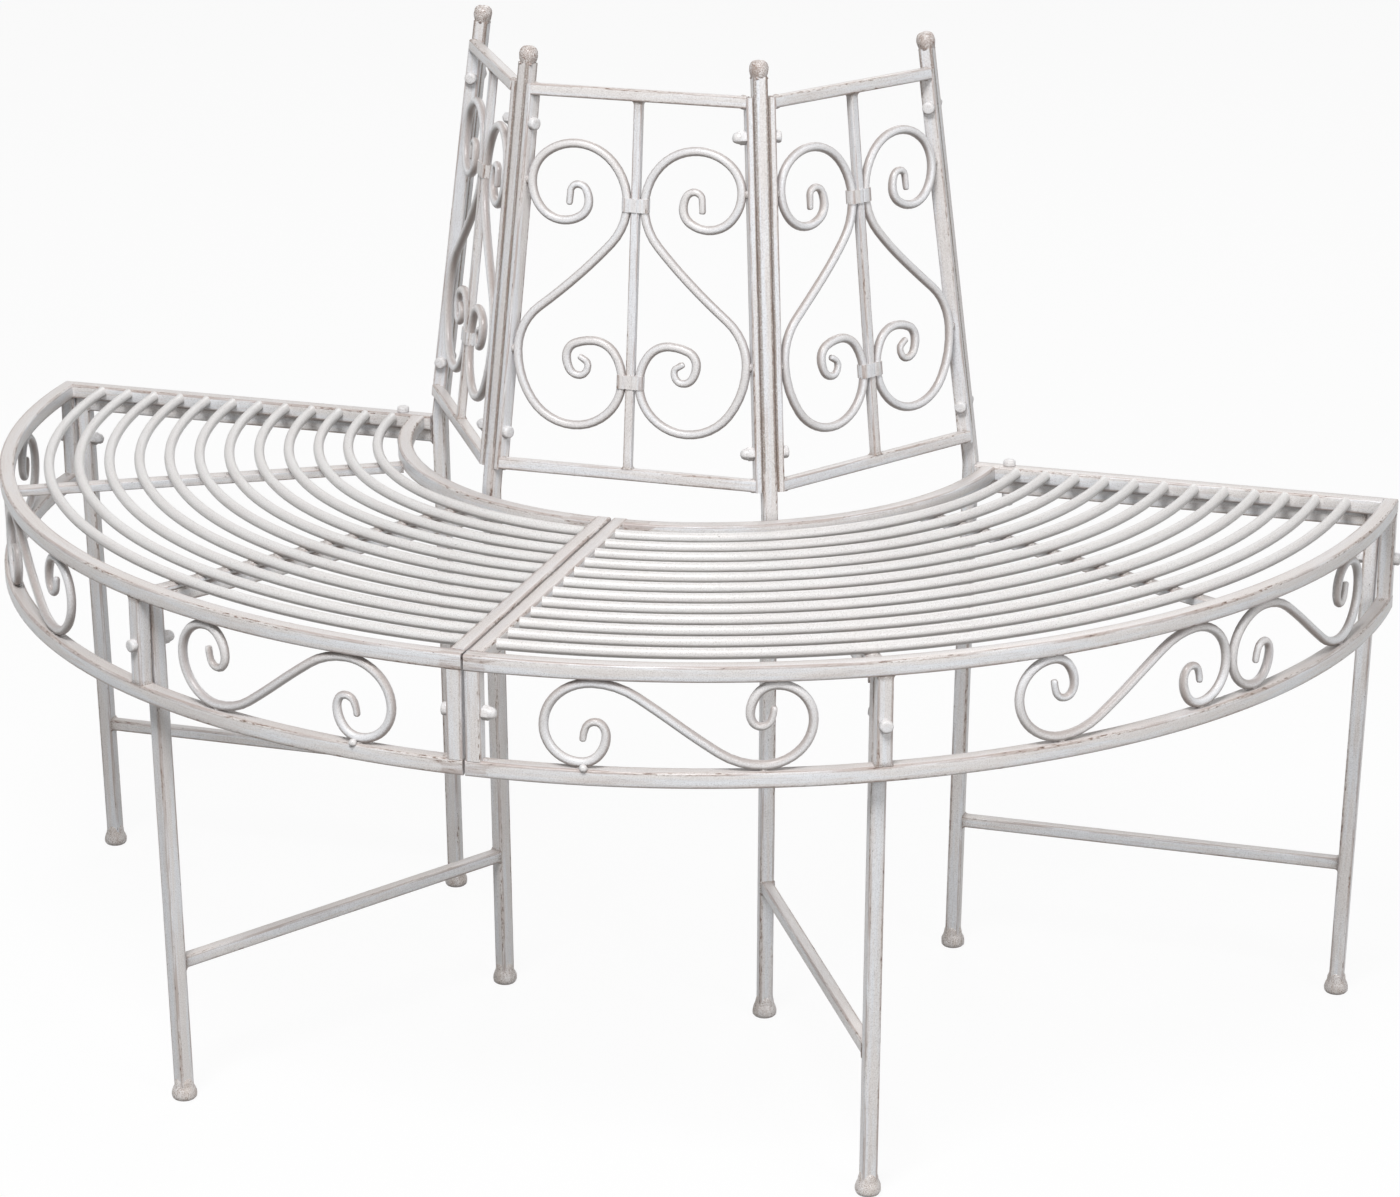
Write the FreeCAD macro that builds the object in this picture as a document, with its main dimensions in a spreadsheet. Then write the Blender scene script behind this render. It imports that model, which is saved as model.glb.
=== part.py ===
import FreeCAD, Part
import Sketcher
import math
import os

from FreeCAD import Placement, Rotation, Vector

# Half-round tree bench of painted square tube and round rod. The seat is a half ring in two
# quadrants that meet at the front, the back is a half hexagon of three scroll panels, and four
# leg frames carry both. +Z is up, the front faces -Y, and the tree stands on the open +Y side.
# Angles run round the ring from the right end (0) past the front (90) to the left end (180).

# Driving dimensions in millimetres, or degrees where the note says so
DIMENSIONS = [
    ("seat_height", 445.0, "floor to the top of the seat frame"),
    ("ring_outer", 600.0, "radius of the outer rim's outer face"),
    ("ring_inner", 251.0, "radius of the inner rim's face towards the tree"),
    ("frame_tube", 12.5, "side of the square tube in the seat frame and fascia"),
    ("tube_wall", 1.5, "wall of every square tube"),
    ("seam_gap", 2.0, "gap between the two seat quadrants at the front"),
    ("end_line", 8.0, "how far the seat ends stop short of the ring's diameter"),
    ("rim_drop", 0.5, "top of the seat frame down to the top of the outer rim"),
    ("fascia_height", 95.5, "top of the seat frame to the underside of the lower rim"),
    ("slat_rod", 8.8, "diameter of a seat slat"),
    ("slat_count", 12, "slats in each quadrant"),
    ("slat_inner_gap", 13.1, "gap between the inner rim and the innermost slat"),
    ("slat_outer_gap", 24.4, "gap between the outermost slat and the outer rim"),
    ("bearer_depth", 7.0, "height of the flat bearer between two leg frames"),
    ("bearer_width", 12.0, "width of the flat bars under the slats"),
    ("leg_tube", 12.0, "side of the square tube in posts, legs and top bearers"),
    ("leg_step", 60.0, "degrees between the leg frames"),
    ("leg_line", 10.0, "how far the end leg frames stand in front of the diameter"),
    ("leg_lean", 9.5, "how far a leg's foot stands in from its top"),
    ("leg_gap", 0.5, "gap between an outer leg and the fascia upright before it"),
    ("post_gap", 6.0, "gap between a post's knee and the inner rim"),
    ("post_splay", 6.0, "how far a post's knee stands out from its foot"),
    ("crown_lean", 47.0, "how far the top of a finial stands in from the post's knee"),
    ("total_height", 808.0, "floor to the top of a finial"),
    ("knee_bend", 60.0, "bend radius of a post at its knee"),
    ("stretcher_tube", 10.0, "side of a stretcher's square tube"),
    ("stretcher_level", 119.0, "floor to a stretcher's centre line"),
    ("foot_radius", 10.3, "radius of a ball foot"),
    ("foot_sole", 8.6, "radius of the flat under a ball foot"),
    ("foot_neck", 7.4, "radius of the flat on a ball foot that the tube stands on"),
    ("finial_radius", 7.8, "radius of a ball finial"),
    ("finial_neck", 5.52, "radius of the flat that a finial stands on its post with"),
    ("stile_width", 12.0, "width of a stile, flat against its post"),
    ("stile_thick", 6.0, "thickness of a stile"),
    ("rail_tube", 9.5, "side of a back panel's rail"),
    ("rail_wall", 1.2, "wall of a back panel's rail"),
    ("panel_low", 19.5, "knee up to the underside of a panel's bottom rail, along the slope"),
    ("panel_drop", 16.2, "top of a post's tube down to the top of a panel's top rail"),
    ("panel_bolt", 31.5, "panel end to the bolt near it, along the stile"),
    ("bar_side", 7.0, "side of a panel's centre bar"),
    ("scroll_rod", 7.4, "diameter of the scroll rods"),
    ("collar_height", 11.0, "height of a collar"),
    ("collar_wall", 0.8, "thickness of a collar's band"),
    ("collar_play", 0.6, "play on each side between a collar and what it holds"),
    ("scroll_length", 199.0, "length of a fascia scroll along the rim, rod centre to centre"),
    ("scroll_aside", 97.5, "gap between the middle upright and the scroll past it"),
    ("bolt_shank", 5.0, "diameter of every bolt's shank"),
    ("bolt_play", 0.3, "play of a bolt in its hole, on the diameter"),
    ("bolt_head", 10.5, "diameter of the bolt heads and nuts"),
    ("head_rise", 5.0, "height of a bolt head"),
    ("nut_rise", 11.0, "height of a cap nut"),
    ("fascia_bolt", 51.0, "top of the seat frame down to the bolts through the fascia"),
    ("seam_bolt", 46.0, "top of the seat frame down to the bolt through the seam"),
    ("seat_bolt", 22.0, "inner rim's inner face out to the bolts that hold the seat ends down"),
    ("joint_gap", 0.2, "clearance where two pieces meet end to side"),
]

# A heart scroll's turning points: share of the way from the centre bar to the stile, share of
# the way up the panel's opening, and the heading there. It runs from the upper curl, round the
# upper lobe, down along the bar, across to the stile and round the lower lobe to the lower curl.
HEART_TURNS = [
    ((0.594, 0.710), (0, 1)),
    ((0.516, 0.767), (-1, 0)),
    ((0.397, 0.722), (0, -1)),
    ((0.644, 0.667), (1, 0)),
    ((1.000, 0.770), (0, 1)),
    ((0.561, 0.877), (-1, 0)),
    ((0.000, 0.722), (0, -1)),
    ((0.452, 0.523), (0.73, -0.68)),
    ((1.000, 0.305), (0, -1)),
    ((0.434, 0.107), (-1, 0)),
    ((0.000, 0.239), (0, 1)),
    ((0.284, 0.344), (1, 0)),
    ((0.533, 0.297), (0, -1)),
    ((0.405, 0.246), (-1, 0)),
    ((0.325, 0.274), (0, 1)),
    ((0.415, 0.300), (0.8, 0.6)),
]
COLLAR_SHARES = (0.239, 0.721)

# One half of a fascia scroll about its middle: shares of half its length and half its height.
# The other half is the same, turned end for end.
CURL_TURNS = [
    ((-0.705, -0.46), (0, 1)),
    ((-0.612, 0.03), (1, 0)),
    ((-0.530, -0.30), (0, -1)),
    ((-0.722, -1.00), (-1, 0)),
    ((-1.000, -0.11), (0, 1)),
    ((-0.631, 1.00), (1, 0)),
]
CURL_CROSSING = (0.80, -0.60)

doc = FreeCAD.newDocument("TreeBench")
sheet = doc.addObject("Spreadsheet::Sheet", "Dims")
for row, (alias, value, note) in enumerate(DIMENSIONS, start=1):
    sheet.set(f"A{row}", note)
    sheet.set(f"B{row}", str(value))
    sheet.setAlias(f"B{row}", alias)
doc.recompute()
size = {alias: value for alias, value, note in DIMENSIONS}

# Levels, radii and angles that follow from the driving dimensions
UP = Vector(0, 0, 1)
LEG_ANGLES = [size["leg_step"] * step for step in range(4)]
FRAME_UNDER = size["seat_height"] - size["frame_tube"]
FASCIA_UNDER = size["seat_height"] - size["fascia_height"]
FASCIA_MIDDLE = size["ring_outer"] - size["frame_tube"] / 2
SEAM_SIDE = size["seam_gap"] / 2 + size["frame_tube"] / 2
END_SIDE = size["end_line"] + size["frame_tube"] / 2
LEG_TOP = size["ring_outer"] - size["frame_tube"] - size["leg_gap"] - size["leg_tube"] / 2
LEG_FOOT = LEG_TOP - size["leg_lean"]
FOOT_CENTRE = math.sqrt(size["foot_radius"] ** 2 - size["foot_sole"] ** 2)
FOOT_FLAT = math.sqrt(size["foot_radius"] ** 2 - size["foot_neck"] ** 2)
TUBE_START = FOOT_CENTRE + FOOT_FLAT + size["joint_gap"]
KNEE_LEVEL = size["seat_height"]
KNEE_RADIUS = size["ring_inner"] - size["post_gap"] - size["leg_tube"] / 2
KNEE_FACE = KNEE_RADIUS + size["leg_tube"] / 2 + size["joint_gap"]
POST_FOOT = KNEE_RADIUS - size["post_splay"]
CROWN_RISE = size["total_height"] - KNEE_LEVEL
LEAN = math.atan2(size["crown_lean"], CROWN_RISE)
CROWN_RUN = CROWN_RISE / math.cos(LEAN)
BALL_RUN = (CROWN_RISE - size["finial_radius"]) / math.cos(LEAN)
POST_RUN = BALL_RUN - math.sqrt(size["finial_radius"] ** 2 - size["finial_neck"] ** 2)
PANEL_LOW = size["panel_low"]
PANEL_HIGH = POST_RUN - size["panel_drop"]
BACK_REACH = max(size["leg_tube"] / 2 + size["nut_rise"], size["foot_radius"]) - size["leg_line"]
RING_CENTRE = Vector(0, (size["ring_outer"] - BACK_REACH) / 2, 0)
BOLT_LINE = (size["end_line"] + size["leg_line"] + size["leg_tube"] / 2) / 2
BEARERS = ((size["leg_step"] / 2, "Dims.bearer_depth"), (size["leg_step"], "(Dims.frame_tube - Dims.slat_rod)"))

# Radii of the slats, spread evenly between their gaps to the rims
SLAT_FIRST = "(Dims.ring_inner + Dims.frame_tube + Dims.slat_inner_gap + Dims.slat_rod/2)"
SLAT_LAST = "(Dims.ring_outer - Dims.frame_tube - Dims.slat_outer_gap - Dims.slat_rod/2)"

nodes = []


def keep(piece, label):
    """Name a finished piece and list it for the export."""
    piece.Label = label
    nodes.append(piece)
    return piece


def bind(piece, **expressions):
    """Tie properties of a piece to the sheet."""
    for name, expression in expressions.items():
        piece.setExpression(name, expression)
    return piece


# Places and directions

def ring_place(angle, radius, aside=0.0, level=0.0):
    """Local X points out along the ring's radius, local Y towards lower angles, local Z up."""
    turn = Rotation(UP, -angle)
    return Placement(RING_CENTRE + turn.multVec(Vector(radius, aside, level)), turn)


def outward(angle):
    return Rotation(UP, -angle).multVec(Vector(1, 0, 0))


def sideways(angle):
    return Rotation(UP, -angle).multVec(Vector(0, 1, 0))


def frame_aside(angle):
    """The end leg frames stand a little in front of the ring's diameter."""
    if angle == LEG_ANGLES[0]:
        return -size["leg_line"]
    if angle == LEG_ANGLES[-1]:
        return size["leg_line"]
    return 0.0


def along(start, direction, side):
    """Local Z points along the direction, and local X towards the given side."""
    return Placement(start, Rotation(side, Vector(), direction, "ZXY"))


# Sketches and straight pieces

def sketch_on(body, role):
    """A sketch on one of the body's own origin planes."""
    sketch = body.newObject("Sketcher::SketchObject", body.Name + "_sketch")
    plane = [item for item in body.Origin.OriginFeatures if item.Role == role][0]
    sketch.AttachmentSupport = [(plane, "")]
    sketch.MapMode = "FlatFace"
    return sketch


def outline(sketch, corners):
    """A closed outline whose corners are pairs of expressions."""
    first = sketch.GeometryCount
    count = len(corners)
    turns = [2 * math.pi * step / count for step in range(count)]
    ring = [Vector(10 * math.cos(turn), 10 * math.sin(turn), 0) for turn in turns]
    for step in range(count):
        sketch.addGeometry(Part.LineSegment(ring[step], ring[(step + 1) % count]), False)
    for step in range(count):
        following = first + (step + 1) % count
        sketch.addConstraint(Sketcher.Constraint("Coincident", first + step, 2, following, 1))
    for step, (across, upward) in enumerate(corners):
        start = ring[step]
        for kind, value, expression in (("DistanceX", start.x, across), ("DistanceY", start.y, upward)):
            index = sketch.addConstraint(Sketcher.Constraint(kind, -1, 1, first + step, 1, value))
            sketch.setExpression(f"Constraints[{index}]", expression)


def block_corners(left, right, low, high):
    return [(left, low), (right, low), (right, high), (left, high)]


def rectangle(sketch, width, depth):
    """A rectangle about the sketch's centre."""
    outline(sketch, block_corners(f"-({width})/2", f"({width})/2", f"-({depth})/2", f"({depth})/2"))


def bar(name, width, depth, wall, length, placement):
    """A straight bar along its own Z, hollow where a wall is given."""
    body = doc.addObject("PartDesign::Body", name)
    sketch = sketch_on(body, "XY_Plane")
    rectangle(sketch, width, depth)
    if wall:
        rectangle(sketch, f"{width} - 2*{wall}", f"{depth} - 2*{wall}")
    pad = body.newObject("PartDesign::Pad", name + "_pad")
    pad.Profile = sketch
    bind(pad, Length=length)
    body.Placement = placement
    return body


def frame_bar(name, length, placement):
    """A straight length of the seat frame's square tube."""
    return bar(name, "Dims.frame_tube", "Dims.frame_tube", "Dims.tube_wall", length, placement)


def turned(name, outlines, placement, angle=360.0):
    """A body turned about its own Z from half outlines in its XZ plane."""
    body = doc.addObject("PartDesign::Body", name)
    sketch = sketch_on(body, "XZ_Plane")
    for corners in outlines:
        outline(sketch, corners)
    turn = body.newObject("PartDesign::Revolution", name + "_turn")
    turn.Profile = sketch
    turn.ReferenceAxis = (sketch, ["V_Axis"])
    turn.Angle = angle
    body.Placement = placement
    return body


# Joining and cutting

def group(name, pieces):
    """Equal pieces that share one node, as separate solids."""
    compound = doc.addObject("Part::Compound", name)
    compound.Links = pieces
    return compound


def common(name, piece, tool):
    result = doc.addObject("Part::Common", name)
    result.Base = piece
    result.Tool = tool
    return result


def cut(name, piece, tool):
    result = doc.addObject("Part::Cut", name)
    result.Base = piece
    result.Tool = tool
    return result


def hole(name, centre, direction, reach):
    """A bolt hole through whatever lies within the reach of its centre."""
    drill = doc.addObject("Part::Cylinder", name)
    bind(drill, Radius="(Dims.bolt_shank + Dims.bolt_play)/2")
    drill.Height = 2 * reach
    drill.Placement = Placement(centre - direction * reach, Rotation(UP, direction))
    return drill


def drilled(name, piece, holes):
    """The piece with its bolt holes cut through."""
    tool = holes[0] if len(holes) == 1 else group(name + "_holes", holes)
    return cut(name, piece, tool)


def mirrored(name, piece):
    """The same piece on the other side of the seam."""
    result = doc.addObject("Part::Mirroring", name)
    result.Source = piece
    result.Normal = Vector(1, 0, 0)
    result.Base = Vector(0, 0, 0)
    return result


def bolt(name, head_face, direction, grip):
    """A bolt: its flat head sits on the head face, its cap nut where the grip ends."""
    corners = [
        ("0 mm", "-Dims.head_rise"),
        ("Dims.bolt_head*0.42", "-Dims.head_rise"),
        ("Dims.bolt_head/2", "-Dims.head_rise*0.8"),
        ("Dims.bolt_head/2", "0 mm"),
        ("Dims.bolt_shank/2", "0 mm"),
        ("Dims.bolt_shank/2", grip),
        ("Dims.bolt_head/2", grip),
        ("Dims.bolt_head/2", f"{grip} + Dims.nut_rise*0.55"),
        ("Dims.bolt_head*0.42", f"{grip} + Dims.nut_rise*0.82"),
        ("Dims.bolt_head*0.22", f"{grip} + Dims.nut_rise"),
        ("0 mm", f"{grip} + Dims.nut_rise"),
    ]
    return turned(name, [corners], Placement(head_face, Rotation(UP, direction)))


# Paths of lines and tangent arcs

def arc_from(start, heading, end):
    """The arc that leaves the start along the heading and reaches the end."""
    chord = end - start
    half = chord.Length / 2
    forward = chord * (1 / chord.Length)
    bulge = heading - forward * heading.dot(forward)
    if bulge.Length < 1e-6:
        return Part.LineSegment(start, end).toShape()
    rise = half * math.tan(heading.getAngle(forward) / 2)
    crest = start + forward * half + bulge * (rise / bulge.Length)
    return Part.Arc(start, crest, end).toShape()


def biarc(start, start_heading, end, end_heading):
    """Two tangent arcs between two points with set headings."""
    span = end - start
    pull = span.dot(start_heading + end_heading)
    spread = 2 * (1 - start_heading.dot(end_heading))
    if spread < 1e-9:
        reach = span.dot(span) / (4 * span.dot(end_heading))
    else:
        reach = (math.sqrt(pull ** 2 + spread * span.dot(span)) - pull) / spread
    middle = (start + end + (start_heading - end_heading) * reach) * 0.5
    back = arc_from(end, end_heading * -1, middle)
    return [arc_from(start, start_heading, middle), back]


def curve_through(turns):
    """A smooth path of arcs through points with headings."""
    edges = []
    for (start, heading), (end, next_heading) in zip(turns, turns[1:]):
        edges += biarc(start, heading, end, next_heading)
    return Part.Wire(Part.__sortEdges__(edges))


def swept(name, path, section):
    """A solid that carries a section along a path."""
    spine = doc.addObject("Part::Feature", name + "_path")
    spine.Shape = path
    sweep = doc.addObject("Part::Sweep", name)
    sweep.Sections = [section]
    sweep.Spine = (spine, [])
    sweep.Solid = True
    sweep.Frenet = False
    return sweep


def rod(name, turns, diameter):
    """A round rod along a smooth path."""
    start, heading = turns[0]
    ring = doc.addObject("Part::Circle", name + "_ring")
    bind(ring, Radius=f"{diameter}/2")
    ring.Placement = Placement(start, Rotation(UP, heading))
    return swept(name, curve_through(turns), ring)


# Seat frame, slats and fascia of one quadrant, at the right of the seam

def quadrant_space(name, seam_side, end_side):
    """The quadrant past one distance from the seam and another from the ring's diameter."""
    space = doc.addObject("Part::Box", name)
    bind(space, Length="Dims.ring_outer", Width="Dims.ring_outer", Height="Dims.seat_height + 10")
    near = Vector(seam_side, -end_side - size["ring_outer"], 0)
    space.Placement = Placement(RING_CENTRE + near, Rotation())
    return space


def rim(name, outer, top, space):
    """A quarter ring of square tube, trimmed to a space."""
    walls = [
        block_corners(f"{outer} - Dims.frame_tube", outer, f"{top} - Dims.frame_tube", top),
        block_corners(f"{outer} - Dims.frame_tube + Dims.tube_wall", f"{outer} - Dims.tube_wall",
                      f"{top} - Dims.frame_tube + Dims.tube_wall", f"{top} - Dims.tube_wall"),
    ]
    quarter = turned(name + "_quarter", walls, Placement(RING_CENTRE, Rotation(UP, -90)), 90.0)
    return common(name, quarter, space)


def slats(space):
    """Concentric round rods, flush with the top of the frame."""
    rods = []
    for step in range(size["slat_count"]):
        slat = doc.addObject("Part::Torus", f"slat_{step + 1}")
        share = step / (size["slat_count"] - 1)
        bind(slat, Radius1=f"{SLAT_FIRST} + {share}*({SLAT_LAST} - {SLAT_FIRST})", Radius2="Dims.slat_rod/2")
        slat.Angle3 = 90
        level = Vector(0, 0, size["seat_height"] - size["slat_rod"] / 2)
        slat.Placement = Placement(RING_CENTRE + level, Rotation(UP, -90))
        rods.append(slat)
    return common("slats", group("slat_rods", rods), space)


def bearers():
    """Flat radial bars under the slats: one between two leg frames, one on the leg frame's top."""
    pieces = []
    for step, (angle, depth) in enumerate(BEARERS, start=1):
        radius = size["ring_inner"] + size["frame_tube"] + size["joint_gap"]
        start = ring_place(angle, radius, 0, size["seat_height"] - size["slat_rod"]).Base
        piece = bar(f"bearer_{step}", depth, "Dims.bearer_width", None,
                    "Dims.ring_outer - Dims.ring_inner - 2*Dims.frame_tube - 2*Dims.joint_gap",
                    along(start, outward(angle), UP))
        bind(piece, **{"Placement.Base.z": f"Dims.seat_height - Dims.slat_rod - {depth}/2"})
        pieces.append(piece)
    return group("bearers", pieces)


def rail_end(side):
    """How far a rail goes out before its far corner meets the inside of the outer rim."""
    inside, corner = size["ring_outer"] - size["frame_tube"], side + size["frame_tube"] / 2
    return math.sqrt(inside ** 2 - corner ** 2) - size["joint_gap"]


def seam_rail():
    level = size["seat_height"] - size["frame_tube"] / 2
    start = RING_CENTRE + Vector(SEAM_SIDE, -size["ring_inner"], level)
    return frame_bar("seam_rail", f"{rail_end(SEAM_SIDE)} - Dims.ring_inner", along(start, Vector(0, -1, 0), UP))


def end_rail():
    level = size["seat_height"] - size["frame_tube"] / 2
    start = RING_CENTRE + Vector(KNEE_FACE, -END_SIDE, level)
    rail = frame_bar("end_rail_bar", f"{rail_end(END_SIDE) - KNEE_FACE}", along(start, Vector(1, 0, 0), UP))
    return drilled("end_rail", rail, [seat_bolt_hole("end_rail_hole", LEG_ANGLES[0])])


def seat_bolt_point(angle):
    """The bolt stands where the end rail and the top bearer under it overlap."""
    side = 1 if angle == LEG_ANGLES[0] else -1
    radius = size["ring_inner"] + size["seat_bolt"]
    return RING_CENTRE + Vector(side * radius, -BOLT_LINE, size["seat_height"])


def seat_bolt_hole(name, angle):
    return hole(name, seat_bolt_point(angle), UP, 2 * size["frame_tube"] + size["leg_tube"])


def fascia_bolt_point(angle):
    """Where a fascia bolt's head meets the upright's outer face."""
    level = size["seat_height"] - size["fascia_bolt"]
    if angle in (LEG_ANGLES[0], LEG_ANGLES[-1]):
        side = 1 if angle == LEG_ANGLES[0] else -1
        return RING_CENTRE + Vector(side * size["ring_outer"], -BOLT_LINE, level)
    return ring_place(angle, size["ring_outer"], 0, level).Base


def fascia_hole(name, angle):
    reach = size["frame_tube"] + size["leg_tube"] + 4 * size["leg_gap"]
    return hole(name, fascia_bolt_point(angle), outward(angle), reach)


def seam_bolt_point():
    level = size["seat_height"] - size["seam_bolt"]
    return RING_CENTRE + Vector(0, -FASCIA_MIDDLE, level)


def uprights():
    """Posts between the two rims: at the seam, at the middle leg frame and at the end."""
    clear = "Dims.fascia_height - Dims.rim_drop - 2*Dims.frame_tube"
    level = FASCIA_UNDER + size["frame_tube"]
    seam = RING_CENTRE + Vector(SEAM_SIDE, -FASCIA_MIDDLE, level)
    end = RING_CENTRE + Vector(FASCIA_MIDDLE, -END_SIDE, level)
    pieces = [
        frame_bar("upright_seam", clear, Placement(seam, Rotation())),
        frame_bar("upright_middle", clear, ring_place(LEG_ANGLES[1], FASCIA_MIDDLE, 0, level)),
        frame_bar("upright_end", clear, Placement(end, Rotation())),
    ]
    holes = [
        hole("upright_seam_hole", seam_bolt_point(), Vector(1, 0, 0), 2 * size["frame_tube"]),
        fascia_hole("upright_middle_hole", LEG_ANGLES[1]),
        fascia_hole("upright_end_hole", LEG_ANGLES[0]),
    ]
    return drilled("uprights", group("upright_bars", pieces), holes)


def on_fascia(length, level):
    """A point and its along-the-rim direction, from the length along the fascia past the seam."""
    angle = 90 - math.degrees(length / FASCIA_MIDDLE)
    return ring_place(angle, FASCIA_MIDDLE, 0, level).Base, sideways(angle)


def fascia_scroll(name, centre, slant):
    """An S scroll bent to the rim: slant 1 falls away from the seam, slant -1 rises."""
    half_length = size["scroll_length"] / 2
    height = size["fascia_height"] - size["rim_drop"]
    half_height = (height - 2 * size["frame_tube"] - size["scroll_rod"]) / 2 - size["joint_gap"]
    middle_level = FASCIA_UNDER + height / 2
    flat = [(x, y, dx, dy) for (x, y), (dx, dy) in CURL_TURNS]
    flat += [(0, 0, *CURL_CROSSING)]
    flat += [(-x, -y, dx, dy) for (x, y), (dx, dy) in reversed(CURL_TURNS)]
    turns = []
    for x, y, dx, dy in flat:
        point, ahead = on_fascia(centre + slant * x * half_length, middle_level + y * half_height)
        turns.append((point, (ahead * (slant * dx) + UP * dy).normalize()))
    return rod(name, turns, "Dims.scroll_rod")


def fascia_scrolls():
    """One scroll between the seam and the middle upright, two between that and the end."""
    whole = size["scroll_length"] + size["scroll_rod"]
    middle = math.radians(90 - LEG_ANGLES[1]) * FASCIA_MIDDLE
    second = middle + size["frame_tube"] / 2 + size["scroll_aside"] + whole / 2
    return group("fascia_scrolls", [
        fascia_scroll("fascia_scroll_1", (SEAM_SIDE + middle) / 2, 1),
        fascia_scroll("fascia_scroll_2", second, -1),
        fascia_scroll("fascia_scroll_3", second + whole + size["joint_gap"], 1),
    ])


def build_seat():
    half = size["frame_tube"] / 2
    whole = quadrant_space("whole_space", SEAM_SIDE - half, END_SIDE - half)
    within = quadrant_space("space_within_rails", SEAM_SIDE + half, END_SIDE + half)
    inner = rim("inner_rim", "(Dims.ring_inner + Dims.frame_tube)", "Dims.seat_height", within)
    outer = rim("outer_rim", "Dims.ring_outer", "(Dims.seat_height - Dims.rim_drop)", whole)
    low_top = "(Dims.seat_height - Dims.fascia_height + Dims.frame_tube)"
    lower = rim("lower_rim", "Dims.ring_outer", low_top, whole)
    pieces = {
        "inner_rim": inner,
        "outer_rim": outer,
        "lower_rim": lower,
        "seam_rail": seam_rail(),
        "end_rail": end_rail(),
        "bearers": bearers(),
        "slats": slats(within),
        "fascia_uprights": uprights(),
        "fascia_scrolls": fascia_scrolls(),
    }
    for label, piece in pieces.items():
        keep(piece, "seat_right_" + label)
        keep(mirrored("mirror_" + label, piece), "seat_left_" + label)


# Leg frames

def post_point(angle, run):
    """A point on a post's leaning axis, the run measured up from the knee."""
    knee = ring_place(angle, KNEE_RADIUS, frame_aside(angle), KNEE_LEVEL).Base
    return knee + post_axis(angle) * run


def post_axis(angle):
    return UP * math.cos(LEAN) - outward(angle) * math.sin(LEAN)


def post_outward(angle):
    """Square to the leaning axis, away from the tree."""
    return outward(angle) * math.cos(LEAN) + UP * math.sin(LEAN)


def panel_runs():
    """Runs up a post of a panel's ends and of its two bolts."""
    return PANEL_LOW, PANEL_LOW + size["panel_bolt"], PANEL_HIGH - size["panel_bolt"], PANEL_HIGH


def post_bolt_holes(name, angle):
    reach = size["leg_tube"] + 2 * size["stile_thick"]
    low, low_bolt, high_bolt, high = panel_runs()
    return [hole(f"{name}_hole_{step}", post_point(angle, run), sideways(angle), reach)
            for step, run in ((1, low_bolt), (2, high_bolt))]


def square_section(name, side, start, direction, facing):
    """A square wire about the start, square to the direction."""
    square = doc.addObject("Part::RegularPolygon", name)
    square.Polygon = 4
    bind(square, Circumradius=f"({side})*sqrt(2)/2")
    square.Placement = along(start, direction, facing).multiply(Placement(Vector(), Rotation(UP, 45)))
    return square


def post(name, angle):
    """A square tube that bends at the knee and leans towards the tree."""
    foot = ring_place(angle, POST_FOOT, frame_aside(angle), TUBE_START).Base
    knee = post_point(angle, 0)
    crown = post_point(angle, POST_RUN)
    rising = (knee - foot).normalize()
    leaning = post_axis(angle)
    reach = size["knee_bend"] * math.tan(rising.getAngle(leaning) / 2)
    before = knee - rising * reach
    after = knee + leaning * reach
    path = Part.Wire([
        Part.LineSegment(foot, before).toShape(),
        arc_from(before, rising, after),
        Part.LineSegment(after, crown).toShape(),
    ])
    skins = []
    for skin, side in (("outside", "Dims.leg_tube"), ("inside", "Dims.leg_tube - 2*Dims.tube_wall")):
        section = square_section(f"{name}_{skin}_square", side, foot, rising, outward(angle))
        skins.append(swept(f"{name}_{skin}", path, section))
    tube = cut(name + "_tube", *skins)
    return drilled(name, tube, post_bolt_holes(name, angle))


def leg(name, angle):
    """An outer leg: it leans out a little from its foot to the seat."""
    foot = ring_place(angle, LEG_FOOT, frame_aside(angle), TUBE_START).Base
    top = ring_place(angle, LEG_TOP, frame_aside(angle), FRAME_UNDER - size["joint_gap"]).Base
    tube = bar(name + "_tube", "Dims.leg_tube", "Dims.leg_tube", "Dims.tube_wall",
               f"{(top - foot).Length}", along(foot, (top - foot).normalize(), outward(angle)))
    return drilled(name, tube, [fascia_hole(name + "_hole", angle)])


def leg_radius(level):
    """Radius of an outer leg's centre line at a level."""
    share = (level - TUBE_START) / (FRAME_UNDER - TUBE_START)
    return LEG_FOOT + (LEG_TOP - LEG_FOOT) * share


def post_radius(level):
    """Radius of a post's centre line below its knee."""
    share = (level - TUBE_START) / (KNEE_LEVEL - TUBE_START)
    return POST_FOOT + (KNEE_RADIUS - POST_FOOT) * share


def cross_tube(name, angle, side, level):
    """A level square tube between a post and its leg."""
    half = size[side] / 2
    clear = size["leg_tube"] / 2 + size["joint_gap"]
    start = max(post_radius(level + half), post_radius(level - half)) + clear
    end = min(leg_radius(level + half), leg_radius(level - half)) - clear
    place = ring_place(angle, start, frame_aside(angle), level)
    return bar(name, f"Dims.{side}", f"Dims.{side}", "Dims.tube_wall", f"{end - start}",
               along(place.Base, outward(angle), UP))


def top_bearers():
    """Level tubes at the top of the leg frames, which the seat lies on."""
    level = FRAME_UNDER - size["leg_tube"] / 2
    pieces = [cross_tube(f"top_bearer_{step}", angle, "leg_tube", level)
              for step, angle in enumerate(LEG_ANGLES, start=1)]
    holes = [seat_bolt_hole(f"top_bearer_hole_{step}", angle)
             for step, angle in ((1, LEG_ANGLES[0]), (2, LEG_ANGLES[-1]))]
    return drilled("top_bearers", group("top_bearer_bars", pieces), holes)


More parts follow.
